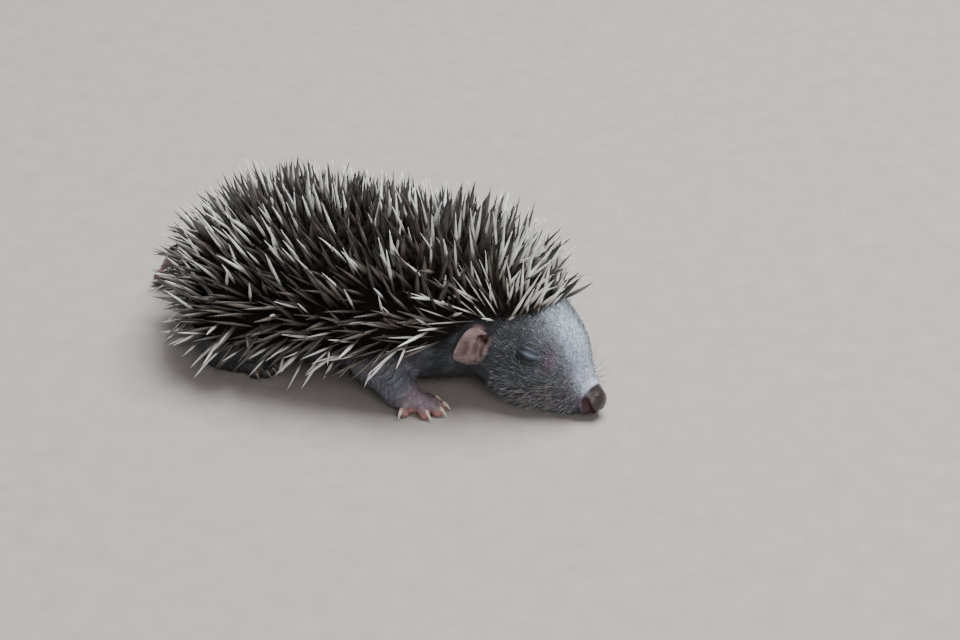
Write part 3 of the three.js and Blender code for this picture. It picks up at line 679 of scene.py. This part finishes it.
def grow_hair(flesh, skin_points, eyes, ears):
    rng = np.random.default_rng(SEED + 1)
    own = HEAD.into(skin_points)
    forward, across, up = own.T
    hem = above_hem(skin_points)
    bare = (np.linalg.norm(own - NOSE_AT, axis=-1) < 4.3) | (skin_points[:, 2] < 0.4)
    for side, _ in SIDES:
        bare |= np.linalg.norm(skin_points - eyes[side][0], axis=-1) < 2.4
        middle, axes = ears[side]
        front, high, _ = ((skin_points - middle) @ axes).T
        close = np.linalg.norm(skin_points - middle, axis=-1) < 8
        bare |= close & (ear_rim(front, high, side) < 1.0) & (high > 0.6 * front - 2.4)
    on_head = (skin_points[:, 0] > 27) & ~bare & (hem < 0.5)
    pieces = []

    patchy = noise(skin_points, 1.6, 60) > -0.25
    chin = on_head & (forward > 4) & (up < -2.5)
    roots = scatter(skin_points, chin, 0.42, rng)
    comb = HEAD.turn(-1, 0, -0.75)
    pieces.append((hair_piece(flesh, "hair_chin", roots, comb, 2.6, 0.056, rng, 0.45, 0.34), "pale"))

    cheek = on_head & (forward > 0) & (up >= -3.5) & (up < 3.5 - 0.25 * forward)
    roots = scatter(skin_points, cheek & patchy, 0.42, rng)
    comb = HEAD.turn(-1, 0, -0.3)
    pieces.append((hair_piece(flesh, "hair_cheeks", roots, comb, 1.5, 0.04, rng, 0.35, 0.34), "pale"))
    roots = scatter(skin_points, cheek | chin, 0.5, rng)
    pieces.append((hair_piece(flesh, "hair_cheeks_dark", roots, comb, 1.5, 0.045, rng, 0.25, 0.3), "grey"))

    top = on_head & (up >= 3.5 - 0.25 * forward) & (forward > 1)
    roots = scatter(skin_points, top, 0.36, rng)
    comb = HEAD.turn(-0.9, 0, 0.35)
    pieces.append((hair_piece(flesh, "hair_forehead", roots, comb, 1.25, 0.034, rng, 0.85, 0.3), "pale"))

    muzzle = on_head & (forward > 13.5) & (forward < 20) & (up > -3) & (up < 1.8)
    roots = scatter(skin_points, muzzle, 0.8, rng)
    normals = flesh.slope(roots)
    comb = 0.8 * normals + HEAD.turn(0.15, 0, 0.35)
    pieces.append((hair_piece(flesh, "hair_muzzle", roots, comb, 2.4, 0.04, rng, 0.9), "pale"))

    temple = (skin_points[:, 0] > 22) & (hem > -4) & (hem < 1.0) & ~bare & (forward < 5) & (np.abs(across) > 6.5)
    roots = scatter(skin_points, temple, 0.45, rng)
    comb = HEAD.turn(-1, 0, -0.25)
    pieces.append((hair_piece(flesh, "hair_temples", roots, comb, 2.4, 0.055, rng, 0.25, 0.3), "dark"))
    streaks = on_head & (forward < 12) & (up > -3) & patchy
    roots = scatter(skin_points, streaks, 0.7, rng)
    comb = HEAD.turn(-1, 0, 0.12)
    pieces.append((hair_piece(flesh, "hair_streaks", roots, comb, 1.9, 0.042, rng, 0.25, 0.3), "ash"))

    legs = np.zeros(len(skin_points), bool)
    for _, _, _, paw in FORELEGS + HINDLEGS:
        legs |= np.linalg.norm(skin_points - paw.at, axis=-1) < 8.0
    flank = (skin_points[:, 0] < 36) & (hem < -1.5) & (skin_points[:, 2] > 1.6) & ~bare & ~legs
    roots = scatter(skin_points, flank, 0.95, rng)
    comb = np.array((-0.7, 0, -0.7))
    pieces.append((hair_piece(flesh, "hair_flanks", roots, comb, 2.6, 0.045, rng, 0.3), "grey"))

    arms = legs & (skin_points[:, 2] > 2.2)
    roots = scatter(skin_points, arms, 0.7, rng)
    comb = np.array((0.5, 0, -0.8))
    pieces.append((hair_piece(flesh, "hair_legs", roots, comb, 0.9, 0.028, rng, 0.25), "ash"))
    return pieces


def grow_whiskers(flesh):
    rng = np.random.default_rng(SEED + 2)
    roots, lies = [], []
    for side, _ in SIDES:
        for row in range(5):
            for place in range(6):
                start = HEAD.out(19.8 - 1.4 * place, 0, 1.4 - 1.4 * row)
                roots.append(flesh.land(start, HEAD.turn(0, side, 0)))
                lies.append(HEAD.turn(0.45 - 0.2 * place, 0.9 * side, 0.45 - 0.28 * row))
    roots = np.array(roots)
    lies = np.array(lies) + rng.normal(0, 0.12, roots.shape)
    keep = roots[:, 2] > 1.2
    roots, lies = roots[keep], unit(lies[keep])
    lengths = rng.uniform(3.5, 7.0, len(roots))
    low = roots[:, 2] + lies[:, 2] * lengths < 0.8
    lies[low, 2] = 0.05
    bends = np.tile(HEAD.turn(-0.25, 0, 0.05), (len(roots), 1))
    profile = ((0, 1.0), (0.35, 0.8), (0.7, 0.5), (1, 0))
    return strands(
        "whiskers", roots, lies, lengths, np.full(len(roots), 0.07), profile, 5, bends,
        values={"tone": rng.uniform(0, 1, len(roots))},
    )


# ---- Claws and eyes ------------------------------------------------------------------------------------
def add_claws():
    pieces = []
    rings, sides = 8, 10
    for legs, digits, kind in ((FORELEGS, FORE_DIGITS, "fore"), (HINDLEGS, HIND_DIGITS, "hind")):
        for side, _, _, paw in legs:
            name = dict(SIDES)[side]
            for number, (spread, reach) in enumerate(digits, 1):
                tip = np.array(digit_points(side, spread, reach)[-1])
                ahead = unit(np.array((tip[0], tip[1], 0)))
                left = np.array((-ahead[1], ahead[0], 0))
                points, faces = [], []
                for j in range(rings + 1):
                    t = j / rings
                    middle = tip + ahead * (0.45 + 1.7 * t) + np.array((0, 0, 0.62 + 0.15 * t - 1.7 * t * t))
                    thick = 0.63 * (1 - t) ** 0.6 + 0.03
                    for i in range(sides):
                        a = 2 * math.pi * i / sides
                        offset = left * math.cos(a) * 0.8 + np.array((0, 0, 1.15)) * math.sin(a)
                        points.append(middle + offset * thick)
                for j in range(rings):
                    for i in range(sides):
                        k = (i + 1) % sides
                        faces.append((j * sides + i, j * sides + k, (j + 1) * sides + k, (j + 1) * sides + i))
                faces.append(tuple(range(sides))[::-1])
                faces.append(tuple(rings * sides + i for i in range(sides)))
                world = np.array([paw.out(*p) for p in points])
                world[:, 2] = np.maximum(world[:, 2], 0.02)
                node = f"{kind}_{name}_claw_{number}"
                piece = new_mesh(f"claw_{kind}_{name}_{number}", world, faces)
                add_values(piece, "along", np.repeat(np.linspace(0, 1, rings + 1), sides))
                # The hind claws are painted darker (tone 0.25) as painted shade, to sink the hind feet into the shade
                # under the body.
                add_values(piece, "tone", np.full(len(world), 1.0 if kind == "fore" else 0.25))
                pieces.append((piece, node))
    return pieces


def add_eyeball(eye, side, name):
    middle, along, across, out = eye
    centre = middle - out * 2.3
    radius = 2.0
    rows, columns = 16, 24
    points, faces = [], []
    for j in range(rows + 1):
        tilt = math.pi * (j + 0.001) / (rows + 0.002)
        for i in range(columns):
            turn = 2 * math.pi * i / columns
            points.append(
                centre + radius * (out * math.cos(tilt) + math.sin(tilt) * (along * math.cos(turn) + across * math.sin(turn)))
            )
    for j in range(rows):
        for i in range(columns):
            k = (i + 1) % columns
            quad = (j * columns + i, j * columns + k, (j + 1) * columns + k, (j + 1) * columns + i)
            faces.append(quad[::-1] if side > 0 else quad)
    return new_mesh(f"eyeball_{name}", np.array(points), faces)


# ---- Skin ------------------------------------------------------------------------------------------------
def near(points, centre, reach, soft):
    return 1 - smoothstep(np.linalg.norm(points - centre, axis=-1), reach - soft, reach + soft)


def spot(a, b, centre, size):
    """A soft oval on the coordinates a and b."""
    return np.exp(-(((a - centre[0]) / size[0]) ** 2) - (((b - centre[1]) / size[1]) ** 2))


def near_paw(points, paw):
    return np.linalg.norm(points - paw.out(1, 0, 0), axis=-1)


def paint_skin(skin, points, plain, eyes, ears):
    """Where each marking, and each patch of painted shade or painted highlight, lies on the skin, as values from 0 to 1
    at its points.
    """
    own = HEAD.into(points)
    forward, across, up = own.T
    on_head = smoothstep(points[:, 0], 26, 32)
    wobble = 0.8 * noise(points, 5, 3) + 0.5 * noise(points, 2.2, 4)
    middle_line = np.abs(across) + 0.4 * wobble
    # pale and ash make the top of the head paler and bluer: partly a pale stripe along the middle, partly painted sky
    # sheen on the upward-facing top. ash also lightens the front of the muzzle.
    top = on_head * smoothstep(up + 0.32 * forward + 0.6 * wobble, 4.6, 8.6)
    pale = top * (1 - smoothstep(middle_line, 1.8, 5.0))
    ash = np.maximum(top * (1 - smoothstep(middle_line, 4.5, 8.5)), 0.55 * on_head * smoothstep(forward, 13, 17))
    nose = near(points, HEAD.out(*(NOSE_AT + (0.7, 0, 0))), 3.9, 0.3) * smoothstep(forward, 20.4, 21.0)
    pink, socket, lid, ear_skin, hole, nostril, rim = (np.zeros(len(points)) for _ in range(7))
    for side, _ in SIDES:
        middle, along, rise, _ = eyes[side]
        a, b = (points - middle) @ along, (points - middle) @ rise
        close = near(points, middle, 8, 2)
        # Painted shade (the socket mark): the lid slit, the eye's outer corner and the skin under the slit are
        # darkened.
        shade = 0.9 * spot(a, b, (-2.6, -0.7), (2.2, 1.8)) + 1.3 * spot(a, b, (-0.1, -0.7), (2.9, 0.6))
        shade = shade + 0.6 * spot(a, b, (0.6, -1.9), (2.4, 0.8))
        socket = np.maximum(socket, np.clip(shade, 0, 1) * close)
        # Painted highlight: the upper lid's bump and a fold under the eye are painted paler and bluer, as where they
        # catch the sky light.
        lids = spot(a, b, (0.4, 1.1), (2.4, 1.2)) + 0.8 * spot(a, b, (2.2, -3.6), (3.2, 1.2))
        lid = np.maximum(lid, np.clip(lids, 0, 1) * close)
        pink = np.maximum(pink, spot(a, b, (4.4, 0.8), (1.3, 3.0)) * near(points, middle, 9, 2))
        pink = np.maximum(pink, 0.6 * spot(forward, up, (15, -3.4), (3.2, 1.8)) * (across * side > 0))
        ear_middle, axes = ears[side]
        front, high, lift = ((points - ear_middle) @ axes).T
        r = ear_rim(front, high, side)
        sunk = (1 - smoothstep(r, 0.75, 0.95)) * smoothstep(front, -2.2, -0.8)
        proud = np.maximum(smoothstep(plain.sample(points), 0.15, 0.5), sunk)
        on_ear = (1 - smoothstep(r, 0.93, 1.03)) * (np.abs(lift) < 5) * proud
        ear_skin = np.maximum(ear_skin, on_ear * (1 - 0.6 * smoothstep(-high + 0.35 * front + 0.8 * wobble, 2.5, 7.5)))
        # hole: the ear's opening in dark red, partly the canal's own colour and partly painted shade in the hole, with
        # painted shade along the creases.
        pit = near(points, ear_middle + axes @ np.array((*EAR_HOLE, -0.2)), 1.6, 0.6)
        crease = np.zeros(len(points))
        for start, end in EAR_CREASES:
            share = np.clip((start[1] - high) / (start[1] - end[1]), -0.2, 1.2)
            gap = front - (start[0] + (end[0] - start[0]) * share)
            ends = smoothstep(share, -0.1, 0.1) * (1 - smoothstep(share, 0.8, 1.1))
            crease = np.maximum(crease, np.exp(-((gap / 0.36) ** 2)) * ends)
        hole = np.maximum(hole, np.maximum(pit, 0.6 * crease * (r < 1)))
        # nostril: the openings' own red, darkened further as painted shade inside them.
        for f, l, u in NOSTRIL:
            place = HEAD.out(*on_nose(f, l * side, u, 1.0))
            nostril = np.maximum(nostril, near(points, place, 0.75, 0.25))
            rim = np.maximum(rim, near(points, place, 1.2, 0.5))
    muzzle = on_head * smoothstep(forward, 12, 19) * smoothstep(up, -6, -1) * (1 - nose)
    pink = np.maximum(pink, 0.4 * muzzle * (0.6 + 0.4 * noise(points, 3, 8)))
    arms = np.zeros(len(points))
    for _, elbow, wrist, paw in FORELEGS:
        along_arm = limb(elbow, wrist, 0.0, 0.0)[0](points)
        arms = np.maximum(arms, 1 - smoothstep(np.minimum(along_arm, near_paw(points, paw)), 5.0, 8.0))
    toes = np.zeros(len(points))
    # The right hind paw gets no pink and keeps the dark skin colour, as painted shade under the rump.
    for legs, amount in ((FORELEGS, 1.0), (HINDLEGS[1:], 0.7)):
        for _, _, _, paw in legs:
            local = paw.into(points)
            below = 1 - 0.8 * smoothstep(local[:, 2] + 0.1 * np.hypot(local[:, 0], local[:, 1]), -0.4, 1.1)
            toes = np.maximum(toes, amount * near(points, paw.out(2.8, 0, -0.6), 5.6, 1.4) * below)
    values = {
        "pale": pale * (1 - nose),
        "ash": ash * (1 - nose),
        "pink": np.clip(pink, 0, 1),
        # socket is painted shade round the closed eye
        "socket": socket,
        "lid": lid,
        "ear": ear_skin,
        "hole": hole,
        "nose": nose,
        "nostril": nostril,
        "rim": rim * nose,
        "toes": toes,
        # painted shade: the dark skin under the spines is painted near black, as the shade between the spines
        "mantle": smoothstep(above_hem(points), -1.5, 1.5),
        # painted shade: the skin darkens towards the floor under the body, except on the forearms
        "underside_shade": (1 - smoothstep(points[:, 2], 0.5, 9.0)) * (1 - arms),
        "arm": arms,
    }
    for key, value in values.items():
        add_values(skin, key, value)


def add_skin(flesh, plain, eyes, ears):
    points, quads = flesh.mesh()
    normals = flesh.slope(points)
    a, b, c, d = (points[quads[:, i]] for i in range(4))
    facing = np.sum(np.cross(c - a, d - b) * normals[quads[:, 0]], -1)
    if np.median(facing) < 0:
        quads = quads[:, ::-1]
    skin = new_mesh("skin", points, quads.tolist())
    paint_skin(skin, points, plain, eyes, ears)
    return skin, points


# ---- Materials ---------------------------------------------------------------------------------------------
class Paint:
    """Builds one material's nodes."""

    def __init__(self, name, roughness=0.5, **sockets):
        self.material = bpy.data.materials.new(name)
        self.material.use_nodes = True
        self.tree = self.material.node_tree
        self.shader = self.tree.nodes["Principled BSDF"]
        self.shader.inputs["Roughness"].default_value = roughness
        for key, value in sockets.items():
            self.shader.inputs[key.replace("_", " ")].default_value = value
        self.coordinates = self.node("ShaderNodeTexCoord").outputs["Object"]

    def node(self, kind, **settings):
        node = self.tree.nodes.new(kind)
        for key, value in settings.items():
            setattr(node, key, value)
        return node

    def link(self, start, end):
        self.tree.links.new(start, end)

    def value(self, name):
        return self.node("ShaderNodeAttribute", attribute_name=name).outputs["Fac"]

    def math(self, kind, a, b):
        node = self.node("ShaderNodeMath", operation=kind)
        for socket, item in zip(node.inputs, (a, b)):
            if isinstance(item, (int, float)):
                socket.default_value = item
            else:
                self.link(item, socket)
        return node.outputs[0]

    def noise(self, size, detail=3, roughness=0.55, stretch=None):
        """Noise with features of the given size in millimetres."""
        node = self.node("ShaderNodeTexNoise")
        node.inputs["Scale"].default_value = 1 / (size * MM)
        node.inputs["Detail"].default_value = detail
        node.inputs["Roughness"].default_value = roughness
        source = self.coordinates
        if stretch:
            mapping = self.node("ShaderNodeMapping")
            mapping.inputs["Scale"].default_value = stretch
            self.link(source, mapping.inputs["Vector"])
            source = mapping.outputs["Vector"]
        self.link(source, node.inputs["Vector"])
        return node.outputs["Fac"]

    def cells(self, size, feature="DISTANCE_TO_EDGE"):
        node = self.node("ShaderNodeTexVoronoi", feature=feature)
        node.inputs["Scale"].default_value = 1 / (size * MM)
        self.link(self.coordinates, node.inputs["Vector"])
        return node.outputs["Distance"]

    def ramp(self, source, *stops):
        node = self.node("ShaderNodeValToRGB")
        ramp = node.color_ramp
        while len(ramp.elements) < len(stops):
            ramp.elements.new(0.5)
        for element, (place, colour) in zip(ramp.elements, stops):
            element.position = place
            element.color = (*colour, 1)
        self.link(source, node.inputs["Fac"])
        return node.outputs["Color"]

    def mix(self, share, a, b, kind="MIX"):
        node = self.node("ShaderNodeMix", data_type="RGBA", blend_type=kind)
        for socket, item in ((node.inputs["Factor"], share), (node.inputs["A"], a), (node.inputs["B"], b)):
            if isinstance(item, bpy.types.NodeSocket):
                self.link(item, socket)
            elif isinstance(item, tuple):
                socket.default_value = (*item, 1)
            else:
                socket.default_value = item
        return node.outputs["Result"]

    def bump(self, height, strength, depth):
        node = self.node("ShaderNodeBump")
        node.inputs["Strength"].default_value = strength
        node.inputs["Distance"].default_value = depth * MM
        self.link(height, node.inputs["Height"])
        previous = self.shader.inputs["Normal"]
        if previous.is_linked:
            self.link(previous.links[0].from_socket, node.inputs["Normal"])
        self.link(node.outputs["Normal"], previous)

    def colour(self, source):
        self.link(source, self.shader.inputs["Base Color"])

    def roughness(self, source, low, high):
        node = self.node("ShaderNodeMapRange")
        node.inputs["To Min"].default_value = low
        node.inputs["To Max"].default_value = high
        self.link(source, node.inputs["Value"])
        self.link(node.outputs["Result"], self.shader.inputs["Roughness"])


def srgb(red, green, blue):
    """A colour given as it looks on a screen, from 0 to 255."""
    return tuple(((c / 255 + 0.055) / 1.055) ** 2.4 if c > 10 else c / 255 / 12.92 for c in (red, green, blue))


def skin_material():
    paint = Paint("hoglet_skin", 0.55)
    blotch = paint.noise(3.5, 4)
    fine = paint.noise(0.6, 3)
    grain = paint.noise(0.28, 2)
    colour = paint.ramp(blotch, (0.3, srgb(34, 36, 42)), (0.52, srgb(56, 60, 68)), (0.72, srgb(90, 94, 104)))
    # Painted shade under the body: the skin darkens towards the floor.
    colour = paint.mix(paint.value("underside_shade"), colour, srgb(40, 38, 40))
    # ash and pale below make the top of the head lighter and bluer: partly the head's own pale stripe, partly painted
    # sky sheen on the upward-facing top.
    ash = paint.ramp(fine, (0.32, srgb(50, 55, 63)), (0.68, srgb(126, 132, 143)))
    colour = paint.mix(paint.value("ash"), colour, ash)
    arm = paint.ramp(fine, (0.3, srgb(76, 76, 84)), (0.7, srgb(112, 112, 122)))
    colour = paint.mix(paint.math("MULTIPLY", paint.value("arm"), 0.85), colour, arm)
    patches = paint.ramp(fine, (0.25, (0.35,) * 3), (0.7, (0.9,) * 3))
    colour = paint.mix(paint.math("MULTIPLY", paint.value("pink"), patches), colour, srgb(112, 80, 106))
    pale = paint.ramp(fine, (0.3, srgb(116, 131, 146)), (0.66, srgb(196, 209, 224)))
    pale = paint.mix(paint.value("pink"), pale, srgb(182, 170, 200))
    colour = paint.mix(paint.value("pale"), colour, pale)
    # Painted highlight on the lids, paler and bluer.
    colour = paint.mix(paint.math("MULTIPLY", paint.value("lid"), 0.35), colour, srgb(94, 104, 121))
    # Painted shade in the eye's slit and outer corner.
    colour = paint.mix(paint.math("MULTIPLY", paint.value("socket"), 0.92), colour, srgb(20, 21, 26))
    ear = paint.ramp(blotch, (0.3, srgb(124, 101, 103)), (0.7, srgb(172, 148, 146)))
    colour = paint.mix(paint.value("ear"), colour, ear)
    # The ear's hole and creases: partly their own dark red, partly painted shade in the recesses.
    colour = paint.mix(paint.value("hole"), colour, srgb(74, 32, 36))
    toe = paint.ramp(fine, (0.3, srgb(146, 92, 94)), (0.7, srgb(190, 142, 140)))
    colour = paint.mix(paint.value("toes"), colour, toe)
    # The skin under the spines is painted near black: painted shade between the spines.
    colour = paint.mix(paint.value("mantle"), colour, srgb(31, 27, 25))
    colour = paint.mix(paint.value("nose"), colour, srgb(52, 43, 43))
    colour = paint.mix(paint.math("MULTIPLY", paint.value("rim"), 0.85), colour, srgb(58, 17, 24))
    # The nostrils: their own red, darkened as painted shade inside the openings.
    colour = paint.mix(paint.value("nostril"), colour, srgb(44, 6, 12))
    speckle = paint.ramp(grain, (0.32, (0.55,) * 3), (0.6, (1.0,) * 3))
    colour = paint.mix(0.7, colour, speckle, "MULTIPLY")
    paint.colour(colour)
    gloss = paint.math("ADD", paint.value("nose"), paint.math("MULTIPLY", fine, 0.25))
    paint.roughness(gloss, 0.58, 0.2)
    bare = paint.math("SUBTRACT", 1.0, paint.value("mantle"))
    paint.link(paint.math("MULTIPLY", bare, 0.5), paint.shader.inputs["Specular IOR Level"])
    paint.shader.inputs["Subsurface Weight"].default_value = 0.12
    paint.shader.inputs["Subsurface Radius"].default_value = (0.0012, 0.0006, 0.0005)
    paint.shader.inputs["Subsurface Scale"].default_value = 1.0
    paint.bump(paint.cells(0.55), 0.4, 0.12)
    paint.bump(paint.noise(0.3, 2, stretch=(1, 1, 2.2)), 0.5, 0.12)
    paint.bump(paint.noise(1.6, 3), 0.35, 0.3)
    return paint.material


def spine_material(name, stops, roughness, tones, streaks):
    """A spine's colour from root to tip, with each spine a little lighter or darker."""
    paint = Paint(name, roughness, Specular_IOR_Level=0.6)
    colour = paint.ramp(paint.value("along"), *stops)
    tone = paint.ramp(paint.value("tone"), *zip((0.0, 0.7, 1.0), tones))
    colour = paint.mix(1.0, colour, tone, "MULTIPLY")
    streak = paint.noise(0.5, 2)
    colour = paint.mix(streaks, colour, paint.ramp(streak, (0.35, (0.55,) * 3), (0.65, (1.0,) * 3)), "MULTIPLY")
    paint.colour(colour)
    paint.bump(paint.noise(0.22, 2), 0.3, 0.05)
    return paint.material


def hair_material(name, root, tip, roughness=0.5):
    paint = Paint(name, roughness)
    colour = paint.ramp(paint.value("along"), (0.0, root), (0.9, tip))
    tone = paint.ramp(paint.value("tone"), (0.0, (0.32,) * 3), (0.6, (0.85,) * 3), (1.0, (1.3,) * 3))
    paint.colour(paint.mix(1.0, colour, tone, "MULTIPLY"))
    return paint.material


def claw_material():
    paint = Paint("claw_keratin", 0.28, Subsurface_Weight=0.25)
    paint.shader.inputs["Subsurface Radius"].default_value = (0.0008, 0.0004, 0.0003)
    paint.shader.inputs["Subsurface Scale"].default_value = 1.0
    stops = ((0.0, srgb(176, 138, 132)), (0.35, srgb(206, 182, 168)), (1.0, srgb(226, 214, 198)))
    colour = paint.ramp(paint.value("along"), *stops)
    grain = paint.ramp(paint.noise(0.5, 2), (0.3, (0.75,) * 3), (0.7, (1.0,) * 3))
    colour = paint.mix(1.0, colour, grain, "MULTIPLY")
    # tone darkens the claws; on the hind feet this is painted shade.
    tone = paint.ramp(paint.value("tone"), (0.0, (0.0,) * 3), (1.0, (1.0,) * 3))
    paint.colour(paint.mix(1.0, colour, tone, "MULTIPLY"))
    paint.bump(paint.noise(0.3, 2), 0.15, 0.05)
    return paint.material


def eye_material():
    paint = Paint("eye_dark", 0.12, Coat_Weight=0.6)
    paint.colour(paint.ramp(paint.noise(1.5), (0.3, srgb(14, 13, 16)), (0.7, srgb(30, 28, 32))))
    return paint.material


def floor_material():
    paint = Paint("floor_pale", 0.75)
    paint.colour(paint.ramp(paint.noise(6, 4), (0.3, srgb(146, 139, 134)), (0.7, srgb(155, 148, 143))))
    return paint.material


# ---- Stage ---------------------------------------------------------------------------------------------
CAMERA_AZIMUTH, CAMERA_ELEVATION = 20, 30
CAMERA_DISTANCE, CAMERA_LENS = 600, 100  # millimetres
ORIGIN_PIXEL = (366, 352)  # where the part's origin lies in the 960 by 640 picture
PICTURE = (960, 640)
SENSOR = 36.0


def add_camera():
    turn, rise = math.radians(CAMERA_AZIMUTH), math.radians(CAMERA_ELEVATION)
    back = np.array((math.sin(turn) * math.cos(rise), -math.cos(turn) * math.cos(rise), math.sin(rise)))
    right = np.array((math.cos(turn), math.sin(turn), 0))
    up = np.cross(back, right)
    pixels = PICTURE[0] * CAMERA_LENS / SENSOR / CAMERA_DISTANCE
    offset_x = (ORIGIN_PIXEL[0] - PICTURE[0] / 2) / pixels
    offset_y = (PICTURE[1] / 2 - ORIGIN_PIXEL[1]) / pixels
    spot = back * CAMERA_DISTANCE - right * offset_x - up * offset_y
    camera_data = bpy.data.cameras.new("camera")
    camera_data.lens = CAMERA_LENS
    camera_data.sensor_width = SENSOR
    camera_data.clip_start = 0.01
    camera = bpy.data.objects.new("camera", camera_data)
    camera.location = spot * MM
    camera.rotation_euler = (math.radians(90 - CAMERA_ELEVATION), 0, turn)
    bpy.context.collection.objects.link(camera)
    bpy.context.scene.camera = camera


def add_floor():
    half = 3000.0
    points = np.array([(-half, -half, 0), (half, -half, 0), (half, half, 0), (-half, half, 0)])
    floor = new_mesh("floor", points, [(0, 1, 2, 3)], smooth=False)
    floor.data.materials.append(floor_material())


def add_lamp(name, at, size, power, colour):
    data = bpy.data.lights.new(name, "AREA")
    data.shape = "DISK"
    data.size = size
    data.energy = power
    data.color = colour
    lamp = bpy.data.objects.new(name, data)
    lamp.location = at
    aim = -np.array(at)
    lamp.rotation_euler = (math.acos(-aim[2] / np.linalg.norm(aim)), 0, math.atan2(aim[0], -aim[1]) + math.pi)
    bpy.context.collection.objects.link(lamp)


def add_lights():
    add_lamp("lamp_sky", (0.15, 0.25, 0.9), 0.7, 24.0, (0.94, 0.97, 1.0))
    add_lamp("lamp_front", (0.5, -0.7, 0.55), 0.6, 4.5, (1.0, 0.97, 0.94))
    world = bpy.data.worlds.new("world")
    world.use_nodes = True
    world.node_tree.nodes["Background"].inputs["Color"].default_value = (0.82, 0.86, 0.92, 1)
    world.node_tree.nodes["Background"].inputs["Strength"].default_value = 0.3
    bpy.context.scene.world = world


# ---- Assembly --------------------------------------------------------------------------------------------
FLESH_NODES = ["trunk", "neck", "head", "jaw", "nose", "tail"]
for _, side_name in SIDES:
    FLESH_NODES += [f"foreleg_{side_name}", f"hindleg_{side_name}", f"ear_{side_name}"]
    FLESH_NODES += [f"fore_{side_name}_paw", f"hind_{side_name}_paw"]


def finish_piece(piece, material, slot, *nodes):
    piece.data.materials.append(material)
    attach(piece, "root")
    if nodes:
        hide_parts(*nodes)


def main():
    add_camera()
    add_floor()
    add_lights()
    flesh, plain, eyes, ears = build_flesh()
    skin, skin_points = add_skin(flesh, plain, eyes, ears)
    finish_piece(skin, skin_material(), "skin", *FLESH_NODES)

    brown_stops = (
        (0.0, srgb(22, 19, 18)), (0.3, srgb(72, 67, 63)), (0.62, srgb(108, 102, 97)), (1.0, srgb(54, 49, 46)),
    )
    brown_tones = (0.3, 0.29, 0.28), (0.78, 0.77, 0.76), (1.45, 1.41, 1.35)
    brown = spine_material("spine_brown", brown_stops, 0.3, brown_tones, 0.5)
    white_tones = (0.9, 0.9, 0.89), (0.96, 0.96, 0.96), (1.0, 1.0, 1.0)
    white_stops = (
        (0.0, srgb(96, 90, 82)), (0.28, srgb(196, 193, 183)), (0.5, srgb(252, 254, 251)), (1.0, srgb(254, 255, 254)),
    )
    white = spine_material("spine_white", white_stops, 0.28, white_tones, 0.2)
    tip_stops = (
        (0.0, srgb(30, 27, 25)), (0.42, srgb(98, 92, 86)), (0.55, srgb(216, 216, 210)), (1.0, srgb(253, 254, 253)),
    )
    tipped = spine_material("spine_white_tipped", tip_stops, 0.28, white_tones, 0.2)
    for piece, node in grow_spines(flesh, skin_points, ears):
        material = {"spines_white": white, "spines_white_tipped": tipped}.get(piece.name, brown)
        finish_piece(piece, material, "spines", *([node] if node else []))

    hairs = {
        "pale": hair_material("hair_pale", srgb(118, 121, 126), srgb(232, 234, 234)),
        "ash": hair_material("hair_ash", srgb(78, 81, 87), srgb(152, 155, 160)),
        "dark": hair_material("hair_dark", srgb(20, 18, 19), srgb(54, 54, 58)),
        "grey": hair_material("hair_grey", srgb(44, 42, 44), srgb(112, 108, 104)),
    }
    for piece, kind in grow_hair(flesh, skin_points, eyes, ears):
        finish_piece(piece, hairs[kind], "skin")
    whiskers = grow_whiskers(flesh)
    finish_piece(whiskers, hair_material("whisker", srgb(34, 29, 27), srgb(150, 146, 138), 0.35), "skin")

    claw_paint = claw_material()
    for piece, node in add_claws():
        finish_piece(piece, claw_paint, "claw", node)
    eye_paint = eye_material()
    for side, name in SIDES:
        finish_piece(add_eyeball(eyes[side], side, name), eye_paint, "eyelid", f"eye_{name}")


main()
